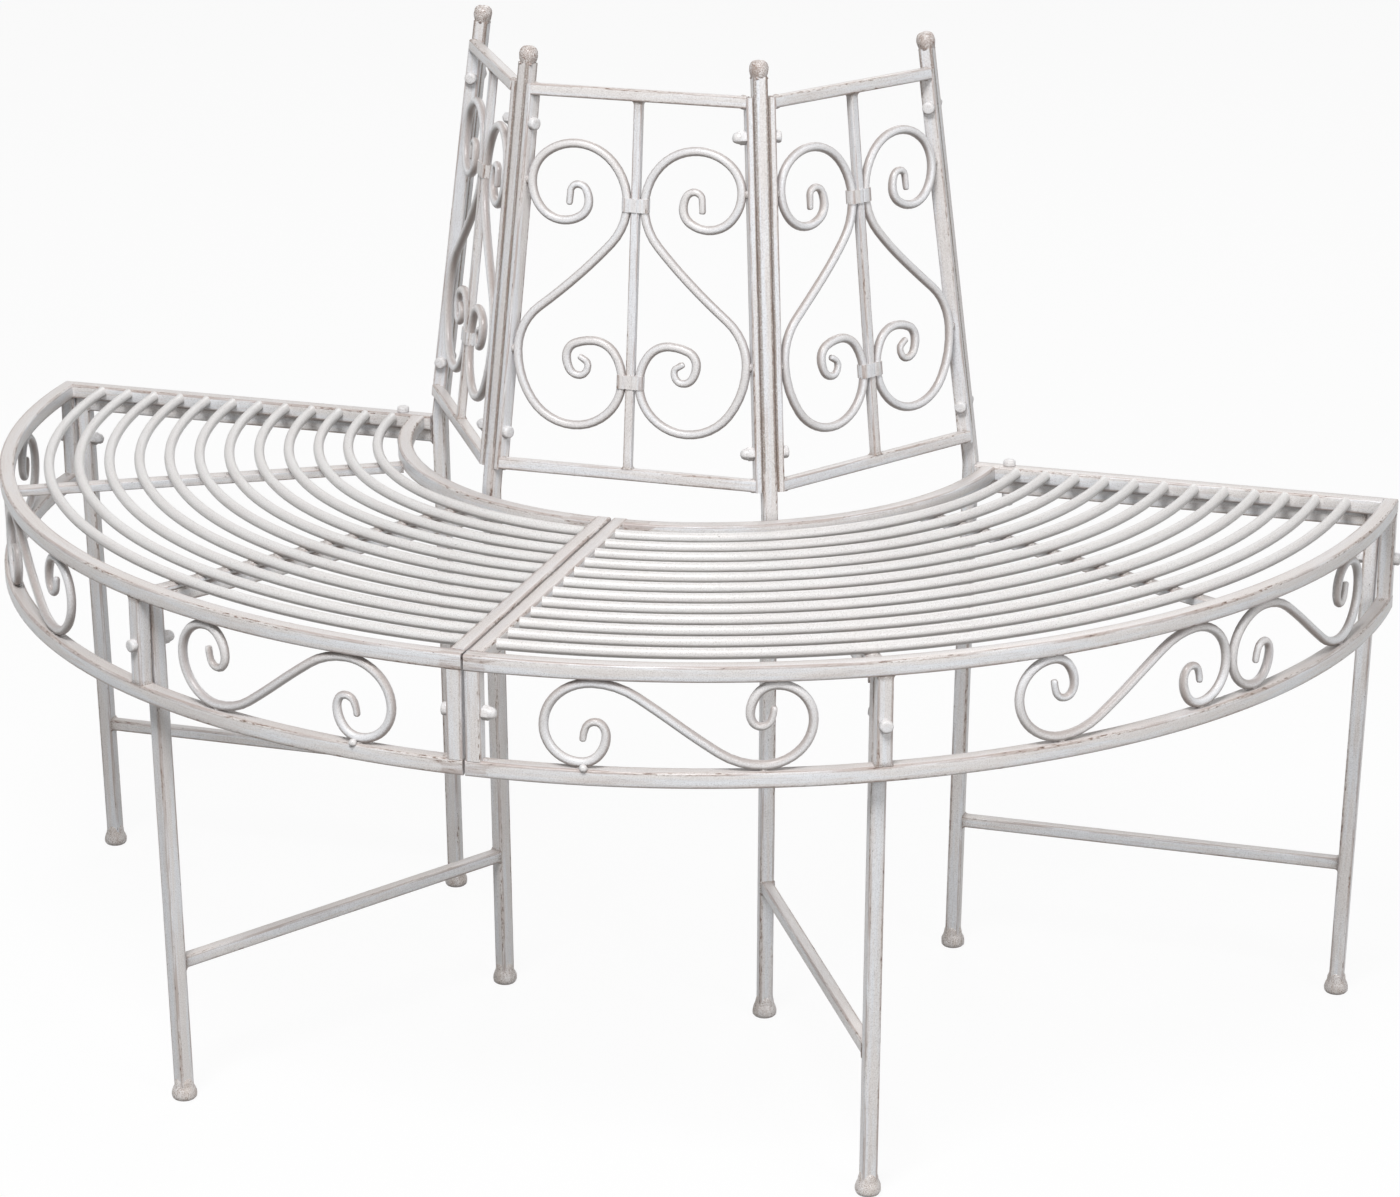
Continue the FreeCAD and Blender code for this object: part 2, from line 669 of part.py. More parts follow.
def ball(name, radius, low, high, place):
    """A ball cut to a flat of one radius below, and of another above where that is given."""
    piece = doc.addObject("Part::Sphere", name)
    bind(piece, Radius=radius, Angle1=f"-acos({low}/{radius})")
    if high:
        bind(piece, Angle2=f"acos({high}/{radius})")
    piece.Placement = place
    return piece


def feet():
    pieces = []
    for angle in LEG_ANGLES:
        for step, radius in ((1, POST_FOOT), (2, LEG_FOOT)):
            place = ring_place(angle, radius, frame_aside(angle), FOOT_CENTRE)
            pieces.append(ball(f"foot_{int(angle)}_{step}", "Dims.foot_radius",
                               "Dims.foot_sole", "Dims.foot_neck", place))
    return group("feet", pieces)


def finials():
    pieces = []
    for angle in LEG_ANGLES:
        place = along(post_point(angle, BALL_RUN), post_axis(angle), post_outward(angle))
        pieces.append(ball(f"finial_{int(angle)}", "Dims.finial_radius", "Dims.finial_neck", None, place))
    return group("finials", pieces)


def build_leg_frames():
    for step, angle in enumerate(LEG_ANGLES, start=1):
        keep(post(f"post_{step}", angle), f"post_{step}")
        keep(leg(f"leg_{step}", angle), f"leg_{step}")
    keep(top_bearers(), "top_bearers")
    level = size["stretcher_level"]
    bars = [cross_tube(f"stretcher_{step}", angle, "stretcher_tube", level)
            for step, angle in enumerate(LEG_ANGLES, start=1)]
    keep(group("stretchers", bars), "stretchers")
    keep(feet(), "feet")
    keep(finials(), "finials")


# Back panels

class Panel:
    """A scroll panel between two posts: across from left to right, up along the slope."""

    def __init__(self, name, left_angle, right_angle):
        self.name = name
        self.left_angle = left_angle
        self.right_angle = right_angle
        low_left, low_right = post_point(left_angle, 0), post_point(right_angle, 0)
        high_left, high_right = post_point(left_angle, CROWN_RUN), post_point(right_angle, CROWN_RUN)
        base = (low_left + low_right) * 0.5
        crown = (high_left + high_right) * 0.5
        across = ((low_right - low_left) + (high_right - high_left)).normalize()
        self.low_half = (low_right - low_left).Length / 2
        self.place = along(base, (crown - base).normalize(), across)
        meeting = math.radians(size["leg_step"] / 2)
        self.inset = size["leg_tube"] / 2 + size["stile_thick"]
        self.front = size["stile_width"] / 2 * math.cos(meeting) + self.inset * math.sin(meeting)
        self.middle = self.front - size["rail_tube"] / 2
        self.open_low = PANEL_LOW + size["rail_tube"]
        self.open_high = PANEL_HIGH - size["rail_tube"]

    def point(self, across, upward):
        """A point in the panel's middle plane."""
        return self.place.multVec(Vector(across, -self.middle, upward))

    def heading(self, across, upward):
        return self.place.Rotation.multVec(Vector(across, 0, upward)).normalize()

    def reach(self, side, upward, clear):
        """How far a point at a height goes towards a stile before it comes this near its face."""
        angle = self.left_angle if side < 0 else self.right_angle
        beyond = sideways(angle) * side
        face = post_point(angle, upward) - beyond * self.inset
        start = (face - self.point(0, upward)).dot(beyond) - clear
        return start / (self.heading(side, 0).dot(beyond))

    def opening(self):
        """The space between the stiles, which trims the rails' ends."""
        rings = []
        reach = 4 * size["stile_width"]
        aside = self.inset + size["joint_gap"]
        for run in (0.0, CROWN_RUN):
            corners = []
            for angle, side in ((self.left_angle, 1), (self.right_angle, -1)):
                face = post_point(angle, run) + sideways(angle) * (side * aside)
                ends = [face + post_outward(angle) * reach, face - post_outward(angle) * reach]
                corners += ends if side == 1 else reversed(ends)
            rings.append(Part.makePolygon(corners + corners[:1]))
        space = doc.addObject("Part::Feature", self.name + "_opening")
        space.Shape = Part.makeLoft(rings, True, True)
        return space

    def rail(self, label, centre, space):
        """A square tube across the panel, its ends cut to the stiles."""
        name = f"{self.name}_{label}"
        half = self.low_half
        start = self.point(-half, centre)
        tube = bar(name + "_tube", "Dims.rail_tube", "Dims.rail_tube", "Dims.rail_wall",
                   f"{2 * half}", along(start, self.heading(1, 0), self.heading(0, 1)))
        return common(name, tube, space)

    def stile(self, label, angle, side):
        """A flat bar bolted to the side of a post."""
        name = f"{self.name}_{label}"
        low, low_bolt, high_bolt, high = panel_runs()
        aside = side * (size["leg_tube"] + size["stile_thick"]) / 2
        start = post_point(angle, low) + sideways(angle) * aside
        strip = bar(name + "_strip", "Dims.stile_width", "Dims.stile_thick", None,
                    f"{PANEL_HIGH} - Dims.panel_low",
                    along(start, post_axis(angle), post_outward(angle)))
        return drilled(name, strip, post_bolt_holes(name, angle))

    def scroll(self, label, side):
        """Half of the heart, at the left (-1) or right (1) of the centre bar."""
        near = (size["bar_side"] + size["scroll_rod"]) / 2 + size["joint_gap"]
        clear = size["scroll_rod"] / 2 + size["joint_gap"]
        turns = []
        for (share_out, share_up), (dx, dy) in HEART_TURNS:
            upward = self.open_low + (self.open_high - self.open_low) * share_up
            far = self.reach(side, upward, clear)
            across = near + (far - near) * share_out
            turns.append((self.point(side * across, upward), self.heading(side * dx, dy)))
        return rod(f"{self.name}_{label}", turns, "Dims.scroll_rod")

    def centre_bar(self):
        return bar(self.name + "_centre_bar", "Dims.bar_side", "Dims.bar_side", None,
                   f"{PANEL_HIGH} - Dims.panel_low - 2*Dims.rail_tube",
                   along(self.point(0, self.open_low), self.heading(0, 1), self.heading(1, 0)))

    def collars(self):
        """Bands that hold the two scrolls to the centre bar."""
        width = "Dims.bar_side + 2*Dims.scroll_rod + 2*Dims.collar_play + 2*Dims.collar_wall"
        depth = "Dims.scroll_rod + 2*Dims.collar_wall + Dims.collar_play/2"
        pieces = []
        for step, share in enumerate(COLLAR_SHARES, start=1):
            centre = self.open_low + (self.open_high - self.open_low) * share
            start = self.point(0, centre - size["collar_height"] / 2)
            pieces.append(bar(f"{self.name}_collar_{step}", width, depth, "Dims.collar_wall",
                              "Dims.collar_height", along(start, self.heading(0, 1), self.heading(1, 0))))
        return group(self.name + "_collars", pieces)

    def build(self):
        space = self.opening()
        half_rail = size["rail_tube"] / 2
        keep(self.rail("top_rail", PANEL_HIGH - half_rail, space), self.name + "_top_rail")
        keep(self.rail("bottom_rail", PANEL_LOW + half_rail, space), self.name + "_bottom_rail")
        keep(self.stile("left_stile", self.left_angle, 1), self.name + "_left_stile")
        keep(self.stile("right_stile", self.right_angle, -1), self.name + "_right_stile")
        keep(self.centre_bar(), self.name + "_centre_bar")
        keep(self.scroll("left_scroll", -1), self.name + "_left_scroll")
        keep(self.scroll("right_scroll", 1), self.name + "_right_scroll")
        keep(self.collars(), self.name + "_collars")


def build_back():
    right_end, right_front, left_front, left_end = LEG_ANGLES
    Panel("back_left", left_end, left_front).build()
    Panel("back_middle", left_front, right_front).build()
    Panel("back_right", right_front, right_end).build()


# Bolts

def panel_bolts():
    """Each bolt passes through a post and the stiles on its sides."""
    pieces = []
    low, low_bolt, high_bolt, high = panel_runs()
    half = size["leg_tube"] / 2
    both = "Dims.leg_tube + 2*Dims.stile_thick"
    one = "Dims.leg_tube + Dims.stile_thick"
    for angle, side, grip in zip(LEG_ANGLES, (-1, 1, 1, 1), (one, both, both, one)):
        for step, run in ((1, low_bolt), (2, high_bolt)):
            head = post_point(angle, run) + sideways(angle) * side * (half + size["stile_thick"])
            pieces.append(bolt(f"panel_bolt_{int(angle)}_{step}", head, sideways(angle) * -side, grip))
    return group("panel_bolts", pieces)


def fascia_bolts():
    inside = leg_radius(size["seat_height"] - size["fascia_bolt"]) - size["leg_tube"] / 2
    grip = f"{size['ring_outer'] - inside + size['joint_gap']}"
    pieces = [bolt(f"fascia_bolt_{int(angle)}", fascia_bolt_point(angle), outward(angle) * -1, grip)
              for angle in LEG_ANGLES]
    return group("fascia_bolts", pieces)


def seam_bolt():
    head = seam_bolt_point() - Vector(SEAM_SIDE + size["frame_tube"] / 2, 0, 0)
    return bolt("seam_bolt", head, Vector(1, 0, 0), "2*Dims.frame_tube + Dims.seam_gap")


def seat_bolts():
    grip = "Dims.frame_tube + Dims.leg_tube"
    pieces = [bolt(f"seat_bolt_{int(angle)}", seat_bolt_point(angle), UP * -1, grip)
              for angle in (LEG_ANGLES[0], LEG_ANGLES[-1])]
    return group("seat_bolts", pieces)


def build_bolts():
    keep(panel_bolts(), "panel_bolts")
    keep(fascia_bolts(), "fascia_bolts")
    keep(seam_bolt(), "seam_bolt")
    keep(seat_bolts(), "seat_bolts")


build_seat()
build_leg_frames()
build_back()
build_bolts()
doc.recompute()

# Every object must have worked before anything is written
for piece in doc.Objects:
    if "Invalid" in piece.State or "Error" in piece.State:
        raise RuntimeError(f"{piece.Label} failed: {piece.State}")
for piece in nodes:
    if piece.Shape.isNull() or not piece.Shape.isValid() or not piece.Shape.Solids:
        raise RuntimeError(f"{piece.Label} has no valid solid")

os.makedirs("parts", exist_ok=True)
for piece in nodes:
    piece.Shape.exportStep(f"parts/{piece.Label}.step")
    print(f"{piece.Label}: {len(piece.Shape.Solids)} solids, {piece.Shape.Volume / 1000:.2f} cm3")
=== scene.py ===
import math

import bmesh
import bpy
from mathutils import Matrix, Vector, noise


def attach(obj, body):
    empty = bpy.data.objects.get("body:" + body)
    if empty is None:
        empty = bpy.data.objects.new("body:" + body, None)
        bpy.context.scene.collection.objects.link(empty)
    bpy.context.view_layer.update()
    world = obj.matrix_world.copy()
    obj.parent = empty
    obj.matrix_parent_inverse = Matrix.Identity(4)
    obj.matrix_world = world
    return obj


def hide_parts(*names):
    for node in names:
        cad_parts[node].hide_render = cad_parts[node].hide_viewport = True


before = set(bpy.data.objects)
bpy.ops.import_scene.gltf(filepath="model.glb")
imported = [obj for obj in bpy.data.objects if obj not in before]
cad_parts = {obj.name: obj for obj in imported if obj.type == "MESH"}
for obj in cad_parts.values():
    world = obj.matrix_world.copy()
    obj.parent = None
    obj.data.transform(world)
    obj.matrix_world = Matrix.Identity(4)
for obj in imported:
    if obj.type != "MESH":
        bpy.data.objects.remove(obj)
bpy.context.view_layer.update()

# Half-round tree bench of old painted iron: square tube and round rod, welded and bolted.
# Every size below is in millimetres and repeats the CAD. A mesh becomes metres when it is finished.
# Angles run round the ring from the right end (0) past the front (90) to the left end (180).

UP = Vector((0, 0, 1))
RING = Vector((0, 296.5, 0))

# Seat: the level of its top, the rims by their middle lines, and how far each half stops short of the
# seam and of its open end
SEAT = 445.0
TUBE = 12.5
RIM_INNER = 251.0 + TUBE / 2
RIM_OUTER = 600.0 - TUBE / 2
RIM_DROP = 0.5
FASCIA_LOW = SEAT - 95.5
SEAM = 1.0
END = 8.0
SLAT = 8.8
SLAT_COUNT = 12
SLAT_FIRST, SLAT_LAST = 281.0, 558.7
SLAT_RADII = [SLAT_FIRST + (SLAT_LAST - SLAT_FIRST) * step / (SLAT_COUNT - 1) for step in range(SLAT_COUNT)]
# Angle and depth of each bearer
BEARERS = ((30.0, 7.0), (60.0, 3.7))
BEARER_WIDE = 12.0
ROD = 7.4

# Leg frames
LEG_ANGLES = (0.0, 60.0, 120.0, 180.0)
LEG = 12.0
STRETCHER = 10.0
STRETCHER_LEVEL = 119.0
POST_FOOT, KNEE = 233.0, 239.0
LEG_FOOT, LEG_TOP = 571.5, 581.0
FOOT_TOP, FOOT_LAP = 12.8, 2.0
LEG_HEAD = SEAT - TUBE - 0.2
KNEE_BEND = 60.0
BALL = 7.8
CROWN = 808.0
# The back leans this far towards the tree between the seat and the crown
LEAN_IN = 47.0
LEAN = math.atan2(LEAN_IN, CROWN - SEAT)
CROWN_RUN = (CROWN - SEAT) / math.cos(LEAN)
BALL_RUN = (CROWN - SEAT - BALL) / math.cos(LEAN)
POST_RUN = BALL_RUN - 5.5

# Back panels
STILE_WIDE, STILE_THICK = 12.0, 6.0
RAIL = 9.5
BAR = 7.0
PANEL_LOW = 19.5
PANEL_HIGH = POST_RUN - 16.2
COLLAR_SHARES = (0.239, 0.721)
COLLAR_WIDE, COLLAR_DEEP, COLLAR_HIGH = 22.6, 9.3, 11.0

# Bolts: how far in or down each sits, and the place of the seat's bolts from the ring's centre
PANEL_BOLT_IN = 31.5
FASCIA_BOLT_DROP = 51.0
FASCIA_BOLT_ASIDE = 12.0
SEAM_BOLT_DROP = 46.0
SEAT_BOLT_ACROSS, SEAT_BOLT_FORWARD = 273.0, 12.0

# How far a welded end runs into a flat face, into a curved one and into a tube that crosses it
SUNK, SUNK_CURVED, SUNK_CROSSED = 0.2, 0.4, 0.6
# Rods that touch their neighbours are kept this far apart
GAP = 0.1

# Half sizes of the weld beads across, along and high
SLAT_BEAD = (5.0, 6.0, 1.7)
SEAM_BEAD = (2.2, 4.5, 1.8)
END_BEAD = (4.0, 2.2, 1.8)
CURL_BEAD = (3.4, 3.2, 1.5)
TOUCH_BEAD = (2.0, 2.0, 4.0)
PAINT_DROP = (3.0, 3.2, 3.2)
BALL_BEAD = (2.0, 2.6, 1.3)
RAIL_BEAD = (2.0, 3.2, 1.8)
HEART_BEAD = (2.0, 2.4, 3.6)

# Millimetres of painted pattern from one piece to the next, so that no two look alike
BAR_SHIFT, BEAD_SHIFT, TURNED_SHIFT, NUT_SHIFT = 171.0, 37.0, 41.0, 29.0

# Scrolls as the places where the rod changes its curve, each with its direction there.
# A heart's places are shares of its half panel, out from the centre bar and up from the bottom rail.
HEART_TURNS = [
    ((0.594, 0.710), (0, 1)),
    ((0.516, 0.767), (-1, 0)),
    ((0.397, 0.722), (0, -1)),
    ((0.644, 0.667), (1, 0)),
    ((1.000, 0.770), (0, 1)),
    ((0.561, 0.877), (-1, 0)),
    ((0.000, 0.722), (0, -1)),
    ((0.452, 0.523), (0.73, -0.68)),
    ((1.000, 0.305), (0, -1)),
    ((0.434, 0.107), (-1, 0)),
    ((0.000, 0.239), (0, 1)),
    ((0.284, 0.344), (1, 0)),
    ((0.533, 0.297), (0, -1)),
    ((0.405, 0.246), (-1, 0)),
    ((0.325, 0.274), (0, 1)),
    ((0.415, 0.300), (0.8, 0.6)),
]
# A fascia scroll's places are shares of its half length and half height. These are one curl's, and the
# other curl is the same upside down, past the crossing.
CURL_TURNS = [
    ((-0.705, -0.46), (0, 1)),
    ((-0.612, 0.03), (1, 0)),
    ((-0.530, -0.30), (0, -1)),
    ((-0.722, -1.00), (-1, 0)),
    ((-1.000, -0.11), (0, 1)),
    ((-0.631, 1.00), (1, 0)),
]
CURL_LOWEST, CURL_OUTMOST, CURL_HIGHEST = (CURL_TURNS[step][0] for step in (3, 4, 5))
CURL_CROSSING = ((0.0, 0.0), (0.80, -0.60))
# Half length along the rim, then centre past the seam and slant of each fascia scroll
SCROLL_HALF = 99.5
FASCIA_SCROLLS = ((159.1, 1), (517.8, -1), (724.4, 1))


# Places and directions

def turn(angle):
    return Matrix.Rotation(math.radians(-angle), 3, "Z")


def outward(angle):
    return turn(angle) @ Vector((1, 0, 0))


def sideways(angle):
    return turn(angle) @ Vector((0, 1, 0))


def ring_point(angle, radius, level, aside=0.0):
    return RING + turn(angle) @ Vector((radius, aside, level))


def frame_aside(angle, by=10.0):
    """The two end frames stand this far inside the open ends."""
    return {LEG_ANGLES[0]: -by, LEG_ANGLES[-1]: by}.get(angle, 0.0)


def facing(start, heading, side):
    """Local Z runs along the heading and local X towards the side."""
    across = (side - heading * side.dot(heading)).normalized()
    place = Matrix((across, heading.cross(across), heading)).transposed().to_4x4()
    place.translation = start
    return place


def post_axis(angle):
    return UP * math.cos(LEAN) - outward(angle) * math.sin(LEAN)


def post_outward(angle):
    return outward(angle) * math.cos(LEAN) + UP * math.sin(LEAN)


def post_point(angle, run):
    return ring_point(angle, KNEE, SEAT, frame_aside(angle)) + post_axis(angle) * run


# Routes of lines and tangent arcs

class Route:
    """Each leg holds its length, its radius (its length again where straight) and the move along it."""

    def __init__(self, start, heading):
        self.start, self.first = start.copy(), heading.normalized()
        self.end, self.heading = self.start, self.first
        self.legs = []

    def to(self, end):
        """Go on to a point by a straight line, or by an arc that keeps the heading smooth."""
        start, heading = self.end, self.heading
        chord = end - start
        aside = chord - heading * chord.dot(heading)
        if aside.length < 1e-4 * chord.length:
            self.legs.append((chord.length, chord.length, lambda s: Matrix.Translation(heading * s)))
        else:
            inward = aside.normalized()
            radius = chord.length_squared / (2 * aside.length)
            centre, axis = start + inward * radius, heading.cross(inward)
            angle = 2 * math.atan2(aside.length, chord.dot(heading))

            def move(s):
                swing = Matrix.Rotation(s / radius, 4, axis)
                return Matrix.Translation(centre) @ swing @ Matrix.Translation(-centre)

            self.legs.append((radius * angle, radius, move))
            self.heading = (Matrix.Rotation(angle, 3, axis) @ heading).normalized()
        self.end = end.copy()
        return self

    def through(self, turns):
        """Two tangent arcs to each point with a set heading."""
        for end, heading in turns:
            span = end - self.end
            pull = span.dot(self.heading + heading)
            spread = 2 * (1 - self.heading.dot(heading))
            if spread < 1e-9:
                reach = span.dot(span) / (4 * span.dot(heading))
            else:
                reach = (math.sqrt(pull ** 2 + spread * span.dot(span)) - pull) / spread
            self.to((self.end + end + (self.heading - heading) * reach) / 2)
            self.to(end)
            self.heading = heading.normalized()
        return self


def straight(start, end):
    return Route(start, end - start).to(end)


# Bars: an outline is carried along a route, a ring at a time. Each point keeps two attributes:
# flow is its place in the outline and along the bar, wear is (corner, joint or crevice, painted shade on the
# sides).

def blank():
    """A new bmesh with the two attributes."""
    bm = bmesh.new()
    return bm, bm.verts.layers.float_vector.new("flow"), bm.verts.layers.float_vector.new("wear")


def attributes(bm):
    return bm.verts.layers.float_vector["flow"], bm.verts.layers.float_vector["wear"]


def square_outline(wide, deep, corner):
    bm, flow, wear = blank()
    corners = bmesh.ops.create_grid(bm, x_segments=1, y_segments=1, size=0.5)["verts"]
    bmesh.ops.scale(bm, vec=(wide, deep, 1), verts=corners)
    bmesh.ops.bevel(bm, geom=corners, offset=corner, offset_type="OFFSET", affect="VERTICES",
                    segments=2, profile=0.5, material=-1)
    flats = [edge for edge in bm.edges if edge.calc_length() > corner * 1.2]
    bmesh.ops.subdivide_edges(bm, edges=flats, cuts=2)
    bmesh.ops.delete(bm, geom=bm.faces[:], context="FACES_ONLY")
    for vert in bm.verts:
        x, y = vert.co.x, vert.co.y
        vert[flow] = (x, y, 0)
        at_corner = wide / 2 - abs(x) < corner * 1.01 and deep / 2 - abs(y) < corner * 1.01
        vert[wear] = (1.0 if at_corner else 0.0, 0, 0)
    return bm


def band_outline(wide, deep, corner):
    """A rectangle with a groove in its front, where the band's ends meet."""
    bm = square_outline(wide, deep, corner)
    flow, _ = attributes(bm)
    front = [edge for edge in bm.edges if all(vert.co.y < 0.1 - deep / 2 for vert in edge.verts)]
    middle = min(front, key=lambda edge: abs(sum(vert.co.x for vert in edge.verts)))
    cut = bmesh.ops.subdivide_edges(bm, edges=[middle], cuts=9)["geom_inner"]
    inner = sorted((g for g in cut if isinstance(g, bmesh.types.BMVert)), key=lambda vert: vert.co.x)
    inner[7].co.y += 0.9
    for vert in inner:
        vert[flow] = (vert.co.x, vert.co.y, 0)
    return bm


def round_outline(diameter, shade=0.0):
    """A circle. Shade says how much painted shade darkens its two sides against its front and back."""
    bm, flow, wear = blank()
    bmesh.ops.create_circle(bm, segments=16, radius=diameter / 2)
    for vert in bm.verts:
        vert[flow] = (vert.co.x, vert.co.y, 0)
        vert[wear] = (0, 0, shade * max(0.0, abs(vert.co.y) / (diameter / 2) * 2 - 1))
    return bm


# Shapes of a bar's end, as distance from the end and how far the outline stands out there:
# a weld that spreads, a rod's shorter weld, and the drawn-out tip of a scroll
FLARE = ((0.0, 1.5), (0.7, 0.8), (1.6, 0.3), (3.0, 0.0))
NECK = ((0.0, 0.5), (0.5, 0.2), (1.2, 0.0))
TIP = ((0.0, -1.9), (0.5, -1.45), (1.2, -1.15), (2.4, -1.0), (12.0, -0.85), (26.0, -0.5), (42.0, 0.0))
# Dirt of a weld reaches this far from it
WELD_DIRT = 9.0


def swell(ending, distance):
    """How far the outline stands out near an end."""
    for (near, high), (far, low) in zip(ending, ending[1:]):
        if distance <= far:
            return high + (low - high) * (distance - near) / (far - near)
    return 0.0


def stops(length, pitch, start, end):
    """Where a leg gets a ring: at even steps, and closer together in a shaped end."""
    count = max(1, math.ceil(length / pitch))
    marks = {length * step / count for step in range(1, count + 1)}
    marks |= {near for near, _ in start if 0 < near < length / 2}
    marks |= {length - near for near, _ in end if 0 < near < length / 2}
    kept = [0.0]
    for mark in sorted(marks):
        if mark - kept[-1] >= 0.05 or mark >= length:
            kept.append(mark)
    return kept[1:]


def carried(bm, route, side, start=(), end=(), web=(1, 1), pitch=16.0, bend=7.0, seed=0):
    """Carry an outline along a route, with a ring each pitch or bend in degrees. FLARE, NECK or TIP
    shapes the start and the end, and web says across which way."""
    flow, wear = attributes(bm)
    place = facing(route.start, route.first, side)
    bmesh.ops.transform(bm, matrix=place, verts=bm.verts)
    reach = max(max(abs(v[flow].x), abs(v[flow].y)) for v in bm.verts)
    total = sum(leg[0] for leg in route.legs)
    last = len(route.legs) - 1
    verts, edges = bm.verts[:], bm.edges[:]
    rings = [(verts, place, 0.0)]
    caps = [edges]
    gone = 0.0
    for index, (length, radius, move) in enumerate(route.legs):
        before = 0.0
        for mark in stops(length, min(pitch, radius * math.radians(bend)),
                          start if index == 0 else (), end if index == last else ()):
            new = bmesh.ops.extrude_edge_only(bm, edges=edges)["geom"]
            verts = [g for g in new if isinstance(g, bmesh.types.BMVert)]
            edges = [g for g in new if isinstance(g, bmesh.types.BMEdge) and all(v in verts for v in g.verts)]
            step = move(mark - before)
            bmesh.ops.transform(bm, matrix=step, verts=verts)
            place = step @ place
            for vert in verts:
                vert[flow] = (vert[flow].x, vert[flow].y, gone + mark)
            rings.append((verts, place, gone + mark))
            before = mark
        gone += length
    caps.append(edges)
    for verts, place, at in rings:
        grow = swell(start, at) + swell(end, total - at)
        welds = [gap for ending, gap in ((start, at), (end, total - at)) if ending is FLARE]
        joint = max([0.0] + [1 - gap / WELD_DIRT for gap in welds])
        for vert in verts:
            x, y, z = vert[flow]
            if grow:
                lump = grow * (1 + 0.35 * noise.noise(Vector((x, y, z * 0.5 + seed)))) / reach
                vert.co = place @ Vector((x * (1 + lump * web[0]), y * (1 + lump * web[1]), 0))
            vert[wear] = (vert[wear].x, joint, vert[wear].z)
            vert[flow] = (x, y, z + seed * BAR_SHIFT)
    for cap in caps:
        filled = bmesh.ops.edgeloop_fill(bm, edges=cap)["faces"]
        bmesh.ops.recalc_face_normals(bm, faces=filled)
        for edge in cap:
            edge.smooth = False
    return bm


def crevice(bm, touching):
    """Dirt along the corners that touch another bar. Touching is told a place in the outline."""
    flow, wear = attributes(bm)
    for vert in bm.verts:
        if vert[wear].x > 0.9 and touching(*vert[flow]):
            vert[wear].y = 1.0
    return bm


def tube(foot, head, side, wide, deep=None, corner=1.5, seed=0, **more):
    return carried(square_outline(wide, deep or wide, corner), straight(foot, head), side,
                   pitch=60.0, seed=seed, **more)


def bead(centre, half_sizes, seed, axis=UP, grime=0.8):
    """A weld bead, or with less grime a drop of paint."""
    bm, flow, wear = blank()
    bmesh.ops.create_icosphere(bm, subdivisions=2, radius=1.0)
    for vert in bm.verts:
        vert.co *= 1 + 0.16 * noise.noise(vert.co * 1.7 + Vector((seed * 3.1, 0, seed)))
    bmesh.ops.scale(bm, vec=half_sizes, verts=bm.verts)
    bmesh.ops.transform(bm, matrix=facing(centre, axis, Vector((0.3, 0.9, 0.2))), verts=bm.verts)
    for vert in bm.verts:
        vert[flow] = vert.co + Vector((seed * BEAD_SHIFT, 0, 0))
        vert[wear] = (0.25, grime, 0)
    return bm


def lathed(profile, place, seed, joint):
    """A half outline of (radius, height) turned about the place's own Z."""
    bm, flow, wear = blank()
    line = [bm.verts.new((radius, 0, height)) for radius, height in profile]
    edges = [bm.edges.new(pair) for pair in zip(line, line[1:])]
    bmesh.ops.spin(bm, geom=line + edges, cent=(0, 0, 0), axis=(0, 0, 1), dvec=(0, 0, 0),
                   angle=math.tau, steps=24, use_merge=True, use_duplicate=False)
    bmesh.ops.remove_doubles(bm, verts=bm.verts, dist=0.02)
    bmesh.ops.recalc_face_normals(bm, faces=bm.faces)
    for vert in bm.verts:
        vert[flow] = vert.co + Vector((0, 0, seed * TURNED_SHIFT))
        vert[wear] = (0.3, joint, 0)
    bmesh.ops.transform(bm, matrix=place, verts=bm.verts)
    return bm


def lumpy(bm, amount, coarse, seed):
    """Push a turned piece's points in and out by a few tenths of a millimetre."""
    for vert in bm.verts:
        vert.co += vert.normal * amount * noise.noise(vert.co * coarse + Vector((seed, seed * 2.3, 0)))
    return bm


def flipped(bars):
    """The same bars on the other side of the seam."""
    for bm in bars:
        bmesh.ops.scale(bm, vec=(-1, 1, 1), verts=bm.verts)
        bmesh.ops.recalc_face_normals(bm, faces=bm.faces)
    return bars


def finished(name, node, bars, material):
    """Join the bars of one node into a piece in metres."""
    mesh = bpy.data.meshes.new(name)
    whole = bmesh.new()
    one = bpy.data.meshes.new("one_bar")
    for bm in bars:
        bmesh.ops.recalc_face_normals(bm, faces=bm.faces)
        for face in bm.faces:
            face.smooth = True
        bm.to_mesh(one)
        whole.from_mesh(one)
        bm.free()
    bpy.data.meshes.remove(one)
    bmesh.ops.scale(whole, vec=(0.001, 0.001, 0.001), verts=whole.verts)
    whole.to_mesh(mesh)
    whole.free()
    piece = bpy.data.objects.new(name, mesh)
    bpy.context.scene.collection.objects.link(piece)
    mesh.materials.append(material)
    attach(piece, "root")
    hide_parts(node)


# Materials

def linear(code):
    """An sRGB hex colour as linear RGBA."""
    parts = [int(code[place:place + 2], 16) / 255 for place in (1, 3, 5)]
    return (*[part / 12.92 if part <= 0.04045 else ((part + 0.055) / 1.055) ** 2.4 for part in parts], 1.0)


def add(tree, kind, settings=None, sockets=None):
    """Add a node with its settings and links. A socket takes a number, a hex colour, another node's
    output, or the node itself for its first output."""
    node = tree.nodes.new(kind)
    for name, value in (settings or {}).items():
        setattr(node, name, value)
    for name, value in (sockets or {}).items():
        if isinstance(value, bpy.types.Node):
            value = value.outputs[0]
        if isinstance(value, bpy.types.NodeSocket):
            tree.links.new(value, node.inputs[name])
        else:
            node.inputs[name].default_value = linear(value) if isinstance(value, str) else value
    return node


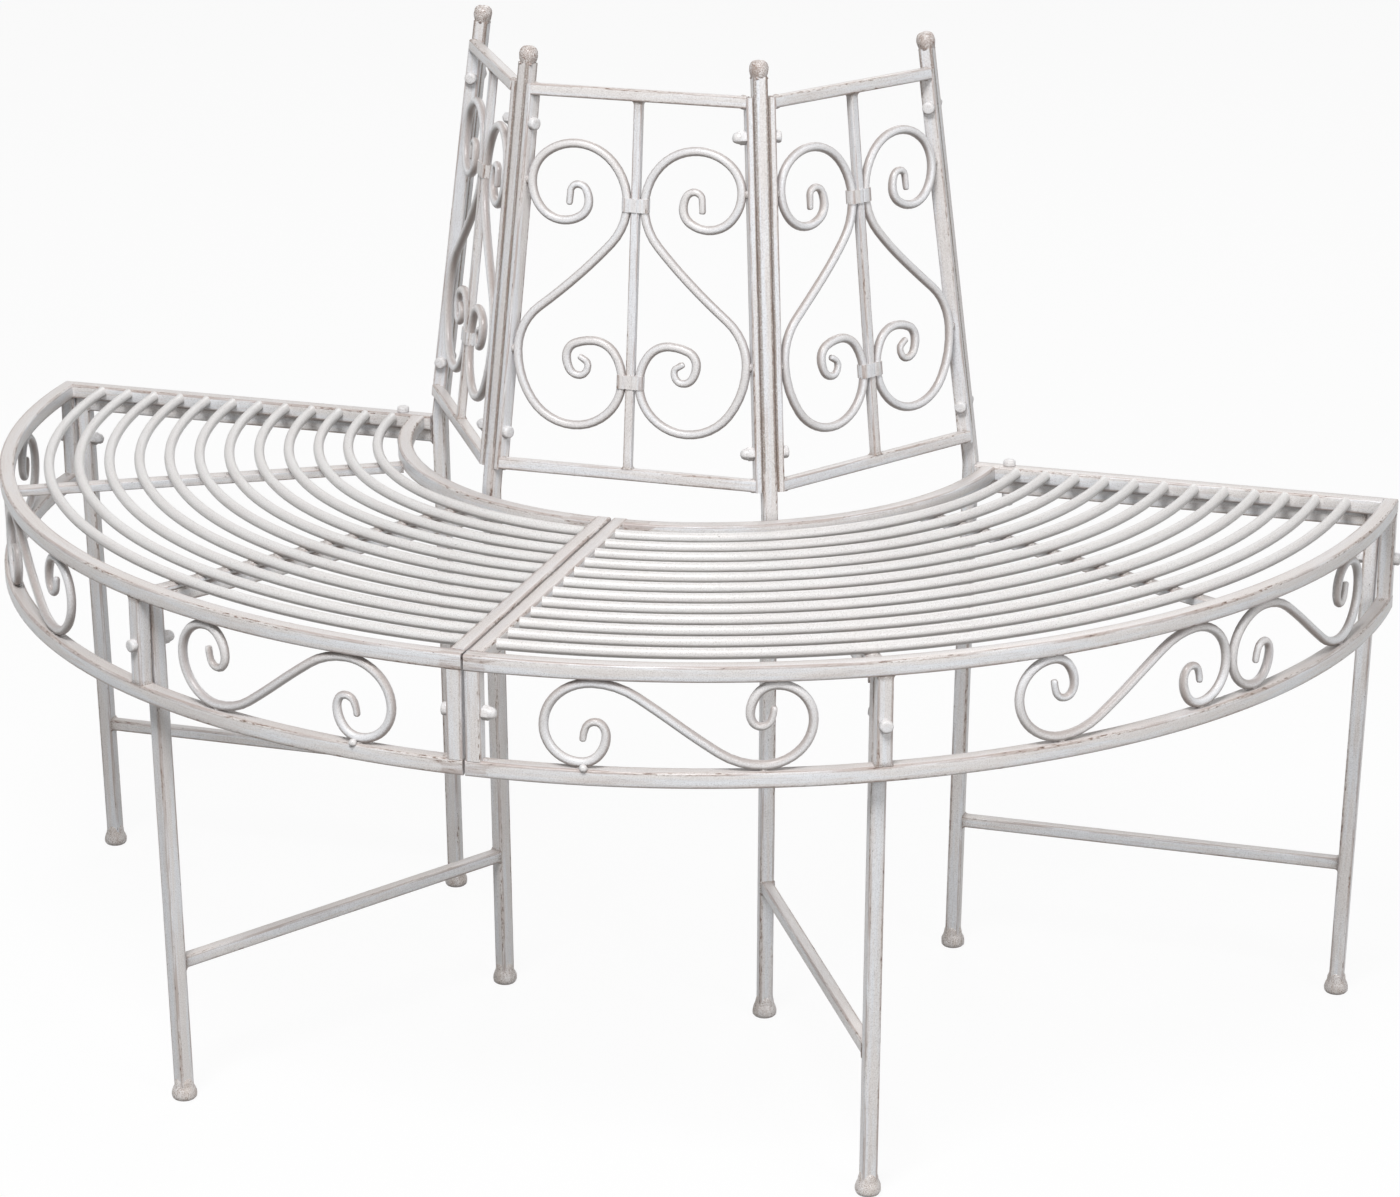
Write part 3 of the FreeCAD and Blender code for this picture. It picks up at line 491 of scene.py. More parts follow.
# Marks in the enamel: how many lie side by side and end to end in 100 mm of a bar, then where each
# pattern starts, its detail and its roughness. The comments give the size of one mark.
MARKS = {
    # tone that changes from face to face, 8 mm wide and 110 mm long
    "zones": (13, 0.9, 4.0, 3.0, 0.6),
    # brush strokes, 2.4 mm wide and 50 mm long
    "strokes": (42, 1.9, 0.0, 4.0, 0.6),
    # lines of single bristles, 17 mm long. Real ones are 0.2 mm wide, these are 0.8 mm to show
    "hairs": (130, 6, 9.0, 3.0, 0.6),
    # grit and pinholes, some of them lit as painted glints. Real ones are 0.3 mm wide, these are 0.7 mm to
    # show
    "specks": (140, 110, 21.0, 3.0, 0.7),
    # flakes broken off, 1.5 mm wide and 6 mm long
    "chips": (65, 17, 33.0, 3.0, 0.65),
}
SOFT = {"interpolation_type": "SMOOTHSTEP"}
TIMES = {"operation": "MULTIPLY", "use_clamp": True}
PLUS = {"operation": "ADD", "use_clamp": True}


def worn_enamel(name, coat, bare, rust, stain, dusty, shade_below_from=0.05):
    """White garden enamel, brushed by hand over a brown primer on iron and left outdoors. The eye gets
    a chalky white with a low gloss, grey-brown strokes and stains along each bar, corners rubbed down
    to the primer, and matt brown rust in specks and dark chips, with white specks as painted glints,
    painted shade on the faces that turn down and painted shade on the sides of round rods.
    Bare, rust, stain and dusty say how much there is of each. Painted shade below starts where a face
    turns this far down."""
    material = bpy.data.materials.new(name)
    material.use_nodes = True
    tree = material.node_tree
    tree.nodes.clear()
    flow = add(tree, "ShaderNodeAttribute", {"attribute_name": "flow"}).outputs["Vector"]
    wear = add(tree, "ShaderNodeAttribute", {"attribute_name": "wear"}).outputs["Vector"]
    corner, joint, painted_side_shade = add(tree, "ShaderNodeSeparateXYZ", {}, {"Vector": wear}).outputs
    normal = add(tree, "ShaderNodeNewGeometry").outputs["Normal"]
    upward = add(tree, "ShaderNodeSeparateXYZ", {}, {"Vector": normal}).outputs["Z"]
    downward = add(tree, "ShaderNodeMath", TIMES, {0: upward, 1: -1.0})

    patterns = []
    for wide, long, start, detail, roughness in MARKS.values():
        place = add(tree, "ShaderNodeMapping", {}, {
            "Vector": flow, "Location": (start, start * 0.7, 0),
            "Scale": (wide / 100, wide / 100, long / 100)})
        patterns.append(add(tree, "ShaderNodeTexNoise", {}, {
            "Vector": place, "Scale": 1.0, "Detail": detail, "Roughness": roughness}))
    zones, strokes, hairs, specks, chips = patterns

    # Where the marks may lie: on corners, on corners of the more worn zones, in joints and on the sides that
    # get painted shade
    ridge = add(tree, "ShaderNodeMapRange", SOFT, {"Value": corner, "From Min": 0.72})
    in_joint = add(tree, "ShaderNodeMapRange", SOFT, {"Value": joint, "From Min": 0.45})
    worn_zone = add(tree, "ShaderNodeMapRange", SOFT, {
        "Value": zones, "From Min": 0.48, "From Max": 0.60, "To Max": bare})
    worn_ridge = add(tree, "ShaderNodeMath", TIMES, {0: ridge, 1: worn_zone})
    torn_ridge = add(tree, "ShaderNodeMath", PLUS, {0: worn_ridge, 1: 0.06})
    # Painted shade on the rods' sides, broken up by the specks
    side_shade_with_specks = add(tree, "ShaderNodeMath", PLUS, {0: specks, 1: painted_side_shade})
    frail_ridge = add(tree, "ShaderNodeMath", TIMES, {0: ridge, 1: 0.06})
    chipped_off = add(tree, "ShaderNodeMath", PLUS, {0: chips, 1: frail_ridge})

    # Each layer over the coat: its colour, the pattern that it follows, where that begins to show and
    # where it shows in full, how strong it is then, and the places that it keeps to
    colour, shares = coat, {}
    for layer, tone, pattern, begins, full, most, places in (
            ("older paint", "#E1DDDB", zones, 0.38, 0.60, min(stain, 1.0), None),
            ("dust on top", "#CDC4BF", upward, 0.40, 0.95, dusty, None),
            ("brush strokes", "#C4B8B2", strokes, 0.52, 0.72, 0.40 * stain, None),
            ("bristle lines", "#B9ABA5", hairs, 0.55, 0.75, 0.32 * stain, None),
            ("dark specks", "#A5A1A0", specks, 0.50, 0.68, 0.50, None),
            # Painted glints: some specks are lighter than the coat
            ("painted glints on specks", "#F6F6F8", specks, 0.47, 0.32, 0.60, None),
            # Painted shade: faces that turn down are darkened grey-brown
            ("painted shade below", "#857E7A", downward, shade_below_from, shade_below_from + 0.6, 0.75, None),
            # Painted shade darkens the sides of round rods
            ("painted shade at the sides", "#8D7C74", side_shade_with_specks, 0.45, 0.95, 0.85, painted_side_shade),
            ("thin paint on corners", "#A99891", strokes, 0.36, 0.60, 0.70, ridge),
            ("rubbed to primer", "#8E7B70", chips, 0.50, 0.60, 1.0, worn_ridge),
            ("torn to iron", "#6A564B", chips, 0.60, 0.68, bare, torn_ridge),
            ("dirt in joints", "#85766C", specks, 0.30, 0.56, 0.85, in_joint),
            ("rust", "#77543F", specks, 0.66 - 0.24 * rust, 0.74 - 0.14 * rust, 0.25 + 0.75 * rust, None),
            ("dark chips", "#41352E", chipped_off, 0.74, 0.76, 1.0, None)):
        share = add(tree, "ShaderNodeMapRange", SOFT, {
            "Value": pattern, "From Min": begins, "From Max": full, "To Max": most})
        if places is not None:
            share = add(tree, "ShaderNodeMath", TIMES, {0: places, 1: share})
        colour = add(tree, "ShaderNodeMix", {"data_type": "RGBA"}, {0: share, 6: colour, 7: tone}).outputs[2]
        shares[layer] = share

    # Gloss goes where iron or rust is open, and the bump is of bristle lines, grit and torn paint
    opened = add(tree, "ShaderNodeMath", PLUS, {0: shares["torn to iron"], 1: shares["rust"]})
    gloss = add(tree, "ShaderNodeMapRange", {}, {"Value": opened, "To Min": 0.31, "To Max": 0.80})
    relief = 0.0
    for pattern, height in ((hairs, 0.4), (specks, 0.6), (shares["torn to iron"], -0.5)):
        relief = add(tree, "ShaderNodeMath", {"operation": "MULTIPLY_ADD"}, {
            0: pattern, 1: height, 2: relief})
    bump = add(tree, "ShaderNodeBump", {}, {"Height": relief, "Strength": 0.30, "Distance": 0.0005})
    shader = add(tree, "ShaderNodeBsdfPrincipled", {}, {
        "Base Color": colour, "Roughness": gloss, "Normal": bump, "IOR": 1.5, "Specular IOR Level": 0.5})
    add(tree, "ShaderNodeOutputMaterial", {}, {"Surface": shader})
    return material


# Square tube: cool white, browner on top where rain stands, and rubbed brown along its corners
ENAMEL = worn_enamel("aged white enamel on iron", "#E6E8EC", bare=0.9, rust=0.0, stain=1.0, dusty=0.65)
# Scrolls: rain runs off a round rod, so it is whiter and plainer
ROD_ENAMEL = worn_enamel("aged white enamel on round rod", "#E8E9EC", bare=0.75, rust=0.0, stain=0.75,
                         dusty=0.15)
# Seat rods: wiped clean by sitting, with painted shade from their sides down
SLAT_ENAMEL = worn_enamel("aged white enamel on seat rods", "#E8E7E6", bare=0.75, rust=0.0, stain=0.5,
                          dusty=0.15, shade_below_from=-0.08)
# Feet: cream, with brown rust specks from the wet ground
FOOT_ENAMEL = worn_enamel("enamel with rust specks on the feet", "#CFC7C1", bare=0.9, rust=0.65, stain=1.3,
                          dusty=0.3)
# Finials: more brown than white, worn by hands and weather
FINIAL_ENAMEL = worn_enamel("enamel worn through to rust on the finials", "#AFA49D", bare=0.9, rust=0.85,
                            stain=1.6, dusty=0.2)
# Bolts: painted over with the frame, white with a few rust specks
BOLT_ENAMEL = worn_enamel("enamel brushed over bolts", "#E8E8EA", bare=0.6, rust=0.15, stain=0.6, dusty=0.1)


# Seat quadrant

def rim_arc(radius, level, inset):
    """From the seam round to the end, or as much short of both as the inset. Also gives its first angle."""
    first = 90 - math.degrees(math.asin((SEAM + inset) / radius))
    last = math.degrees(math.asin((END + inset) / radius))
    return Route(ring_point(first, radius, level), sideways(first)).to(ring_point(last, radius, level)), first


# The rims' paint is rubbed on all faces this near the seam
SEAM_WEAR = 20.0


def rim(radius, level, inset, seed):
    """A ring tube, worn at the seam."""
    route, first = rim_arc(radius, level, inset)
    bm = carried(square_outline(TUBE, TUBE, 1.5), route, outward(first), bend=1.5, seed=seed)
    flow, wear = attributes(bm)
    for vert in bm.verts:
        if vert[flow].z - seed * BAR_SHIFT < SEAM_WEAR:
            vert[wear].x = max(vert[wear].x, 0.88)
    return [bm]


def slats(shift):
    """Rods with a weld bead under each where it crosses a bearer."""
    bars = []
    for step, radius in enumerate(SLAT_RADII):
        route, first = rim_arc(radius, SEAT - SLAT / 2, TUBE - SUNK_CROSSED)
        bars.append(carried(round_outline(SLAT), route, outward(first), NECK, NECK, bend=2.0,
                            seed=shift + step))
        for angle, _ in BEARERS:
            spot = ring_point(angle, radius, SEAT - SLAT - SUNK)
            bars.append(bead(spot, SLAT_BEAD, shift + step * 3 + angle))
    return bars


def bearers(shift):
    bars = []
    for angle, depth in BEARERS:
        level = SEAT - SLAT - depth / 2
        near = ring_point(angle, RIM_INNER + TUBE / 2 - SUNK_CURVED, level)
        far = ring_point(angle, RIM_OUTER - TUBE / 2 + SUNK_CURVED, level)
        bars.append(tube(near, far, UP, depth, BEARER_WIDE, 0.8, seed=shift + angle,
                         start=FLARE, end=FLARE, web=(0, 1)))
    return bars


def uprights(shift):
    """Posts between the two rims: at the seam, at the end and at the middle leg frame."""
    low, high = FASCIA_LOW + TUBE - SUNK, SEAT - RIM_DROP - TUBE + SUNK
    half, wide = TUBE / 2, TUBE - 0.3
    at_seam = Vector((SEAM + half, RING.y - RIM_OUTER, 0))
    at_end = Vector((RIM_OUTER, RING.y - END - half, 0))
    bars = []
    for index, spot in enumerate((at_seam, at_end)):
        bars.append(tube(spot + UP * low, spot + UP * high, Vector((1, 0, 0)), wide, seed=shift + index))
    bars.append(tube(ring_point(60, RIM_OUTER, low), ring_point(60, RIM_OUTER, high), sideways(60), wide,
                     seed=shift + 2, start=FLARE, end=FLARE, web=(1, 0)))
    for level in (low, high):
        beside_seam = Vector((SEAM + TUBE + 0.5, RING.y - RIM_OUTER, level))
        bars.append(bead(beside_seam, SEAM_BEAD, shift + level))
        bars.append(bead(ring_point(2.6, RIM_OUTER, level), END_BEAD, shift + level + 5))
    return bars


def on_fascia(length, level):
    """The place and the direction along the rim at a length past the seam."""
    angle = 90 - math.degrees(length / RIM_OUTER)
    return ring_point(angle, RIM_OUTER, level), sideways(angle)


def whole_scroll():
    """Both curls of a fascia scroll and the crossing between them."""
    curl = [(*spot, *way) for spot, way in CURL_TURNS]
    crossing = (*CURL_CROSSING[0], *CURL_CROSSING[1])
    return [*curl, crossing, *[(-x, -y, dx, dy) for x, y, dx, dy in reversed(curl)]]


def fascia_scrolls(shift):
    """Scrolls, beads where they touch the rims and each other, and a drop of paint under the first."""
    bars = []
    height = SEAT - RIM_DROP - FASCIA_LOW
    half_height = (height - 2 * TUBE - ROD) / 2 - GAP
    middle = FASCIA_LOW + height / 2
    for index, (centre, slant) in enumerate(FASCIA_SCROLLS):
        turns = []
        for x, y, dx, dy in whole_scroll():
            point, ahead = on_fascia(centre + slant * x * SCROLL_HALF, middle + y * half_height)
            turns.append((point, (ahead * (slant * dx) + UP * dy).normalized()))
        route = Route(*turns[0]).through(turns[1:])
        # The scroll rod's sides get painted shade
        bars.append(carried(round_outline(ROD, 0.7), route, outward(60), TIP, TIP, pitch=12.0, bend=9.0,
                            seed=shift + index))
        for hand in (1, -1):
            for x, y in (CURL_LOWEST, CURL_HIGHEST):
                level = middle + hand * y * (half_height + ROD / 2 - SUNK_CURVED)
                spot, _ = on_fascia(centre + slant * hand * x * SCROLL_HALF, level)
                bars.append(bead(spot, CURL_BEAD, shift + index * 7 + hand * x * 10))
    between = (FASCIA_SCROLLS[1][0] + FASCIA_SCROLLS[2][0]) / 2
    spot, _ = on_fascia(between, middle + CURL_OUTMOST[1] * half_height)
    bars.append(bead(spot, TOUCH_BEAD, shift + 50))
    spot, _ = on_fascia(FASCIA_SCROLLS[0][0] - 0.70 * SCROLL_HALF, FASCIA_LOW + TUBE + 1.2)
    bars.append(bead(spot + outward(75) * (TUBE / 2 - 0.6), PAINT_DROP, shift + 51, grime=0.3))
    return bars


def seat_quadrant(shift):
    """Bars and material of each node of the right quadrant."""
    half = TUBE / 2
    level = SEAT - half
    seam, end = SEAM + half, RING.y - END - half
    near, far = RIM_INNER - half, RIM_OUTER - half + SUNK_CROSSED
    seam_rail = tube(Vector((seam, RING.y - near, level)), Vector((seam, RING.y - far, level)), UP, TUBE,
                     seed=shift + 3)
    end_rail = tube(Vector((KNEE + LEG / 2, end, level)), Vector((far, end, level)), UP, TUBE, seed=shift + 4)
    return {
        "inner_rim": (rim(RIM_INNER, level - GAP, TUBE - SUNK_CROSSED, shift), ENAMEL),
        "outer_rim": (rim(RIM_OUTER, level - RIM_DROP, 0, shift + 1), ENAMEL),
        "lower_rim": (rim(RIM_OUTER, FASCIA_LOW + half, 0, shift + 2), ENAMEL),
        "seam_rail": ([seam_rail], ENAMEL),
        "end_rail": ([end_rail], ENAMEL),
        "bearers": (bearers(shift + 5), ENAMEL),
        "slats": (slats(shift + 10), SLAT_ENAMEL),
        "fascia_uprights": (uprights(shift + 6), ENAMEL),
        "fascia_scrolls": (fascia_scrolls(shift + 30), ROD_ENAMEL),
    }


def build_seat():
    for hand, shift in (("right", 0), ("left", 60)):
        for label, (bars, material) in seat_quadrant(shift).items():
            if hand == "left":
                flipped(bars)
            node = f"seat_{hand}_{label}"
            finished("painted_" + node, node, bars, material)


# Leg frames

def leg_radius(level):
    return LEG_FOOT + (LEG_TOP - LEG_FOOT) * (level - FOOT_TOP) / (LEG_HEAD - FOOT_TOP)


def post_radius(level):
    return POST_FOOT + (KNEE - POST_FOOT) * (level - FOOT_TOP) / (SEAT - FOOT_TOP)


def cross_tube(angle, side, level, seed):
    """A tube from a frame's post to its leg."""
    start = ring_point(angle, post_radius(level) + LEG / 2 - SUNK, level, frame_aside(angle))
    end = ring_point(angle, leg_radius(level) - LEG / 2 + SUNK, level, frame_aside(angle))
    return tube(start, end, UP, side, corner=1.3, seed=seed, start=FLARE, end=FLARE)


def post(angle, seed):
    """One tube from the floor to the finial, bent at the seat, with dirt where the panels touch it."""
    foot = ring_point(angle, POST_FOOT, FOOT_TOP - FOOT_LAP, frame_aside(angle))
    knee = post_point(angle, 0)
    rising, leaning = (knee - foot).normalized(), post_axis(angle)
    reach = KNEE_BEND * math.tan(rising.angle(leaning) / 2)
    route = Route(foot, rising).to(knee - rising * reach).to(knee + leaning * reach)
    route.to(post_point(angle, POST_RUN))
    bm = carried(square_outline(LEG, LEG, 1.6), route, outward(angle), pitch=60.0, bend=2.0, seed=seed)
    return crevice(bm, lambda x, y, along: along - seed * BAR_SHIFT > SEAT + PANEL_LOW)


FOOT_PROFILE = [(0, 0), (7.8, 0), (8.9, 0.6), (9.9, 2.0), (10.25, 4.2), (10.1, 6.6), (9.3, 9.0),
                (8.3, 10.8), (7.9, 12.2), (7.7, 14.2), (7.2, 16.2), (6.3, 18.0), (5.4, 19.0), (0, 19.2)]
BALL_PROFILE = [(0, -7.4), (6.0, -7.2), (6.5, -5.4), (7.2, -3.0), (7.7, -0.6), (7.75, 1.6), (7.3, 3.9),
                (6.3, 5.7), (4.8, 6.9), (2.6, 7.6), (0, 7.75)]


def foot(angle, radius, seed):
    """A ball foot, lumpy all over but for its flat sole."""
    place = Matrix.Translation(ring_point(angle, radius, 0, frame_aside(angle)))
    bm = lathed(FOOT_PROFILE, place, seed, 0.35)
    for vert in bm.verts:
        if vert.co.z > 1.5:
            vert.co += vert.normal * 0.45 * noise.noise(vert.co * 0.22 + Vector((seed, 0, 0)))
    return bm


def finial(angle, seed):
    """A ball with four weld beads round its neck."""
    axis = post_axis(angle)
    place = facing(post_point(angle, BALL_RUN), axis, post_outward(angle))
    bars = [lumpy(lathed(BALL_PROFILE, place, seed, 0.3), 0.5, 0.25, seed)]
    for step in range(4):
        quarter = math.tau * (step + 0.5 + 0.1 * (seed % 3)) / 4
        way = Matrix.Rotation(quarter, 3, axis) @ outward(angle)
        bars.append(bead(post_point(angle, POST_RUN - 0.3) + way * 5.6, BALL_BEAD, seed * 5 + step))
    return bars


def build_leg_frames():
    for step, angle in enumerate(LEG_ANGLES, start=1):
        finished(f"painted_post_{step}", f"post_{step}", [post(angle, 120 + step)], ENAMEL)
        low = ring_point(angle, LEG_FOOT, FOOT_TOP - FOOT_LAP, frame_aside(angle))
        high = ring_point(angle, LEG_TOP, LEG_HEAD, frame_aside(angle))
        leg = tube(low, high, outward(angle), LEG, corner=1.4, seed=130 + step)
        finished(f"painted_leg_{step}", f"leg_{step}", [leg], ENAMEL)
    level = SEAT - TUBE - LEG / 2
    bars = [cross_tube(angle, LEG - 0.2, level, 140 + angle / 60) for angle in LEG_ANGLES]
    finished("painted_top_bearers", "top_bearers", bars, ENAMEL)
    bars = [cross_tube(angle, STRETCHER, STRETCHER_LEVEL, 150 + angle / 60) for angle in LEG_ANGLES]
    finished("painted_stretchers", "stretchers", bars, ENAMEL)
    feet = [foot(angle, radius, 160 + angle / 60 + radius)
            for angle in LEG_ANGLES for radius in (POST_FOOT, LEG_FOOT)]
    finished("worn_feet", "feet", feet, FOOT_ENAMEL)
    balls = [bar for angle in LEG_ANGLES for bar in finial(angle, 171 + angle / 60)]
    finished("worn_finials", "finials", balls, FINIAL_ENAMEL)


# Back panels

class Panel:
    """A scroll panel between two posts: across from left to right, up along the slope."""

    def __init__(self, name, left_angle, right_angle, seed):
        self.name, self.seed = name, seed
        self.left_angle, self.right_angle = left_angle, right_angle
        low_left, low_right = post_point(left_angle, 0), post_point(right_angle, 0)
        high_left, high_right = post_point(left_angle, CROWN_RUN), post_point(right_angle, CROWN_RUN)
        base, crown = (low_left + low_right) / 2, (high_left + high_right) / 2
        across = (low_right - low_left) + (high_right - high_left)
        self.place = facing(base, (crown - base).normalized(), across)
        self.inset = LEG / 2 + STILE_THICK
        half_turn = math.radians((left_angle - right_angle) / 2)
        front = STILE_WIDE / 2 * math.cos(half_turn) + self.inset * math.sin(half_turn)
        self.middle = front - RAIL / 2
        self.low, self.high = PANEL_LOW + RAIL, PANEL_HIGH - RAIL

    def point(self, across, upward, proud=0.0):
        return self.place @ Vector((across, -self.middle - proud, upward))

    def heading(self, across, upward):
        return (self.place.to_3x3() @ Vector((across, 0, upward))).normalized()

    def level(self, share):
        """The height at a share of the way from the bottom rail to the top one."""
        return self.low + (self.high - self.low) * share

    def reach(self, side, upward, clear):
        """How far a point at a height goes towards a stile before it comes this near its face."""
        angle = self.left_angle if side < 0 else self.right_angle
        beyond = sideways(angle) * side
        face = post_point(angle, upward) - beyond * self.inset
        return ((face - self.point(0, upward)).dot(beyond) - clear) / self.heading(side, 0).dot(beyond)

    def rail(self, centre, seed):
        """A rail that runs 2 mm into both stiles, with a weld bead above and below each end."""
        ends = [self.point(side * self.reach(side, centre, -2.0), centre) for side in (-1, 1)]
        bars = [tube(*ends, self.heading(0, 1), RAIL, corner=1.2, seed=seed)]
        for side in (-1, 1):
            for lift in (-1, 1):
                spot = self.point(side * self.reach(side, centre, 0.8), centre + lift * (RAIL / 2 - 0.6), 1.0)
                bars.append(bead(spot, RAIL_BEAD, seed + side + lift * 2, self.heading(0, 1)))
        return bars

    def stile(self, angle, side, seed):
        """A flat bar against a post, with dirt in the crevice between them."""
        aside = sideways(angle) * side * (LEG + STILE_THICK) / 2
        bm = tube(post_point(angle, PANEL_LOW) + aside, post_point(angle, PANEL_HIGH) + aside,
                  post_outward(angle), STILE_WIDE, STILE_THICK, 1.2, seed=seed)
        return [crevice(bm, lambda x, y, along: y * side < 0)]

    def scroll(self, side, seed):
        """Half a heart, with a weld bead at the two places where it touches the stile."""
        near = (BAR + ROD) / 2 + GAP
        turns = []
        for (out, up), (dx, dy) in HEART_TURNS:
            upward = self.level(up)
            far = self.reach(side, upward, ROD / 2 + GAP)
            spot = self.point(side * (near + (far - near) * out), upward)
            turns.append((spot, self.heading(side * dx, dy)))
        route = Route(*turns[0]).through(turns[1:])
        front = self.place.to_3x3() @ Vector((0, -1, 0))
        # The heart rod's sides get painted shade
        bars = [carried(round_outline(ROD, 0.8), route, front, TIP, TIP, pitch=12.0, bend=9.0, seed=seed)]
        for up in [up for (out, up), _ in HEART_TURNS if out == 1.0]:
            upward = self.level(up)
            spot = self.point(side * self.reach(side, upward, 0.6), upward, 0.3)
            bars.append(bead(spot, HEART_BEAD, seed + up * 10, self.heading(0, 1)))
        return bars

    def collars(self, seed):
        """Bands that tie the scrolls to the centre bar."""
        bars = []
        for step, share in enumerate(COLLAR_SHARES):
            start = self.point(0, self.level(share) - COLLAR_HIGH / 2)
            route = straight(start, start + self.heading(0, 1) * COLLAR_HIGH)
            bars.append(carried(band_outline(COLLAR_WIDE, COLLAR_DEEP, 2.6), route, self.heading(1, 0),
                                seed=seed + step))
        return bars

    def build(self):
        seed, half = self.seed, RAIL / 2
        centre_bar = tube(self.point(0, self.low - SUNK), self.point(0, self.high + SUNK), self.heading(1, 0),
                          BAR, corner=1.0, seed=seed + 4, start=FLARE, end=FLARE)
        parts = {
            "top_rail": (self.rail(PANEL_HIGH - half, seed), ENAMEL),
            "bottom_rail": (self.rail(PANEL_LOW + half, seed + 1), ENAMEL),
            "left_stile": (self.stile(self.left_angle, 1, seed + 2), ENAMEL),
            "right_stile": (self.stile(self.right_angle, -1, seed + 3), ENAMEL),
            "centre_bar": ([centre_bar], ENAMEL),
            "left_scroll": (self.scroll(-1, seed + 5), ROD_ENAMEL),
            "right_scroll": (self.scroll(1, seed + 6), ROD_ENAMEL),
            "collars": (self.collars(seed + 7), ENAMEL),
        }
        for label, (bars, material) in parts.items():
            node = f"{self.name}_{label}"
            finished("painted_" + node, node, bars, material)


def build_back():
    right_end, right_front, left_front, left_end = LEG_ANGLES
    Panel("back_left", left_end, left_front, 200).build()
    Panel("back_middle", left_front, right_front, 220).build()
    Panel("back_right", right_front, right_end, 240).build()


# Bolts

HEAD_PROFILE = [(0, 4.9), (2.2, 4.95), (3.6, 4.85), (4.5, 4.5), (5.0, 3.9), (5.2, 3.0), (5.2, 1.2),
                (5.3, -0.4), (0, -0.4)]
DOME_PROFILE = [(0, 11.0), (1.6, 10.8), (3.2, 9.9), (4.3, 8.3), (4.8, 6.4), (5.1, 5.4), (5.1, 4.6), (0, 4.6)]
NUT_RADIUS, NUT_DEEP, NUT_MIDDLE, NUT_EDGE = 5.9, 5.4, 2.5, 0.7


def bolt_head(point, outwards, seed):
    """A thick flat head, its edge softened by paint."""
    bm = lumpy(lathed(HEAD_PROFILE, Matrix(), seed, 0.15), 0.25, 0.4, seed)
    bmesh.ops.transform(bm, matrix=facing(point, outwards, outwards.orthogonal()), verts=bm.verts)
    return bm


def cap_nut(point, outwards, seed):
    """Six flats under a dome, softened by paint."""
    place = facing(point, outwards, outwards.orthogonal())
    dome = lumpy(lathed(DOME_PROFILE, Matrix(), seed, 0.3), 0.5, 0.4, seed)
    bmesh.ops.transform(dome, matrix=place, verts=dome.verts)
    flats, flow, wear = blank()
    bmesh.ops.create_cone(flats, cap_ends=True, segments=6, radius1=NUT_RADIUS, radius2=NUT_RADIUS,
                          depth=NUT_DEEP)
    bmesh.ops.bevel(flats, geom=flats.edges[:], offset=NUT_EDGE, offset_type="OFFSET", affect="EDGES",
                    segments=2, profile=0.5, material=-1)
    bmesh.ops.translate(flats, vec=(0, 0, NUT_MIDDLE), verts=flats.verts)
    for vert in flats.verts:
        vert[flow] = vert.co + Vector((0, 0, seed * NUT_SHIFT))
        vert[wear] = (0.5, 0.5, 0)
    bmesh.ops.transform(flats, matrix=place, verts=flats.verts)
    return [dome, flats]


def bolted(head, nut, outwards, seed):
    return [bolt_head(head, outwards, seed), *cap_nut(nut, -outwards, seed + 0.5)]


def panel_bolts():
    """Through each post and the stiles beside it, two to a post."""
    bars = []
    runs = (PANEL_LOW + PANEL_BOLT_IN, PANEL_HIGH - PANEL_BOLT_IN)
    for angle, side, far in zip(LEG_ANGLES, (-1, 1, 1, 1), (0, STILE_THICK, STILE_THICK, 0)):
        way = sideways(angle) * side
        for run in runs:
            middle = post_point(angle, run)
            head, nut = middle + way * (LEG / 2 + STILE_THICK), middle - way * (LEG / 2 + far)
            bars += bolted(head, nut, way, angle / 9 + run)
    return bars


def fascia_bolts():
    """Through the fascia into each leg."""
    bars = []
    level = SEAT - FASCIA_BOLT_DROP
    for angle in LEG_ANGLES:
        aside = frame_aside(angle, FASCIA_BOLT_ASIDE)
        head = ring_point(angle, RIM_OUTER + TUBE / 2, level, aside)
        nut = ring_point(angle, leg_radius(level) - LEG / 2, level, aside)
        bars += bolted(head, nut, outward(angle), angle / 7)
    return bars


def seam_bolt():
    """Through the two uprights at the seam, with its head on the left one."""
    spot = Vector((0, RING.y - RIM_OUTER, SEAT - SEAM_BOLT_DROP))
    left = Vector((-1, 0, 0))
    return bolted(spot + left * (SEAM + TUBE), spot - left * (SEAM + TUBE), left, 3.3)


def seat_bolts():
    """Down through the seat's inner corners into the end frames."""
    bars = []
    for side in (1, -1):
        spot = Vector((side * SEAT_BOLT_ACROSS, RING.y - SEAT_BOLT_FORWARD, SEAT))
        bars += bolted(spot, spot - UP * (TUBE + LEG), UP, 5.1 + side)
    return bars


def build_bolts():
    for bolts in (panel_bolts, fascia_bolts, seam_bolt, seat_bolts):
        node = bolts.__name__
        finished("painted_" + node, node, bolts(), BOLT_ENAMEL)


build_seat()
build_leg_frames()
build_back()
build_bolts()


# Camera at the photograph's angle, fitted to the bench's corners and joints

YAW, PITCH, ROLL = math.radians(16.66), math.radians(19.13), math.radians(0.24)
DISTANCE = 3.19291
LOOK_AT = Vector((0.13563, -0.0535, 0.39056))
FOCAL_PX, CENTRE_PX, IMAGE_PX = 4087.14, (737.51, 635.84), (1400, 1197)
SENSOR = 36.0


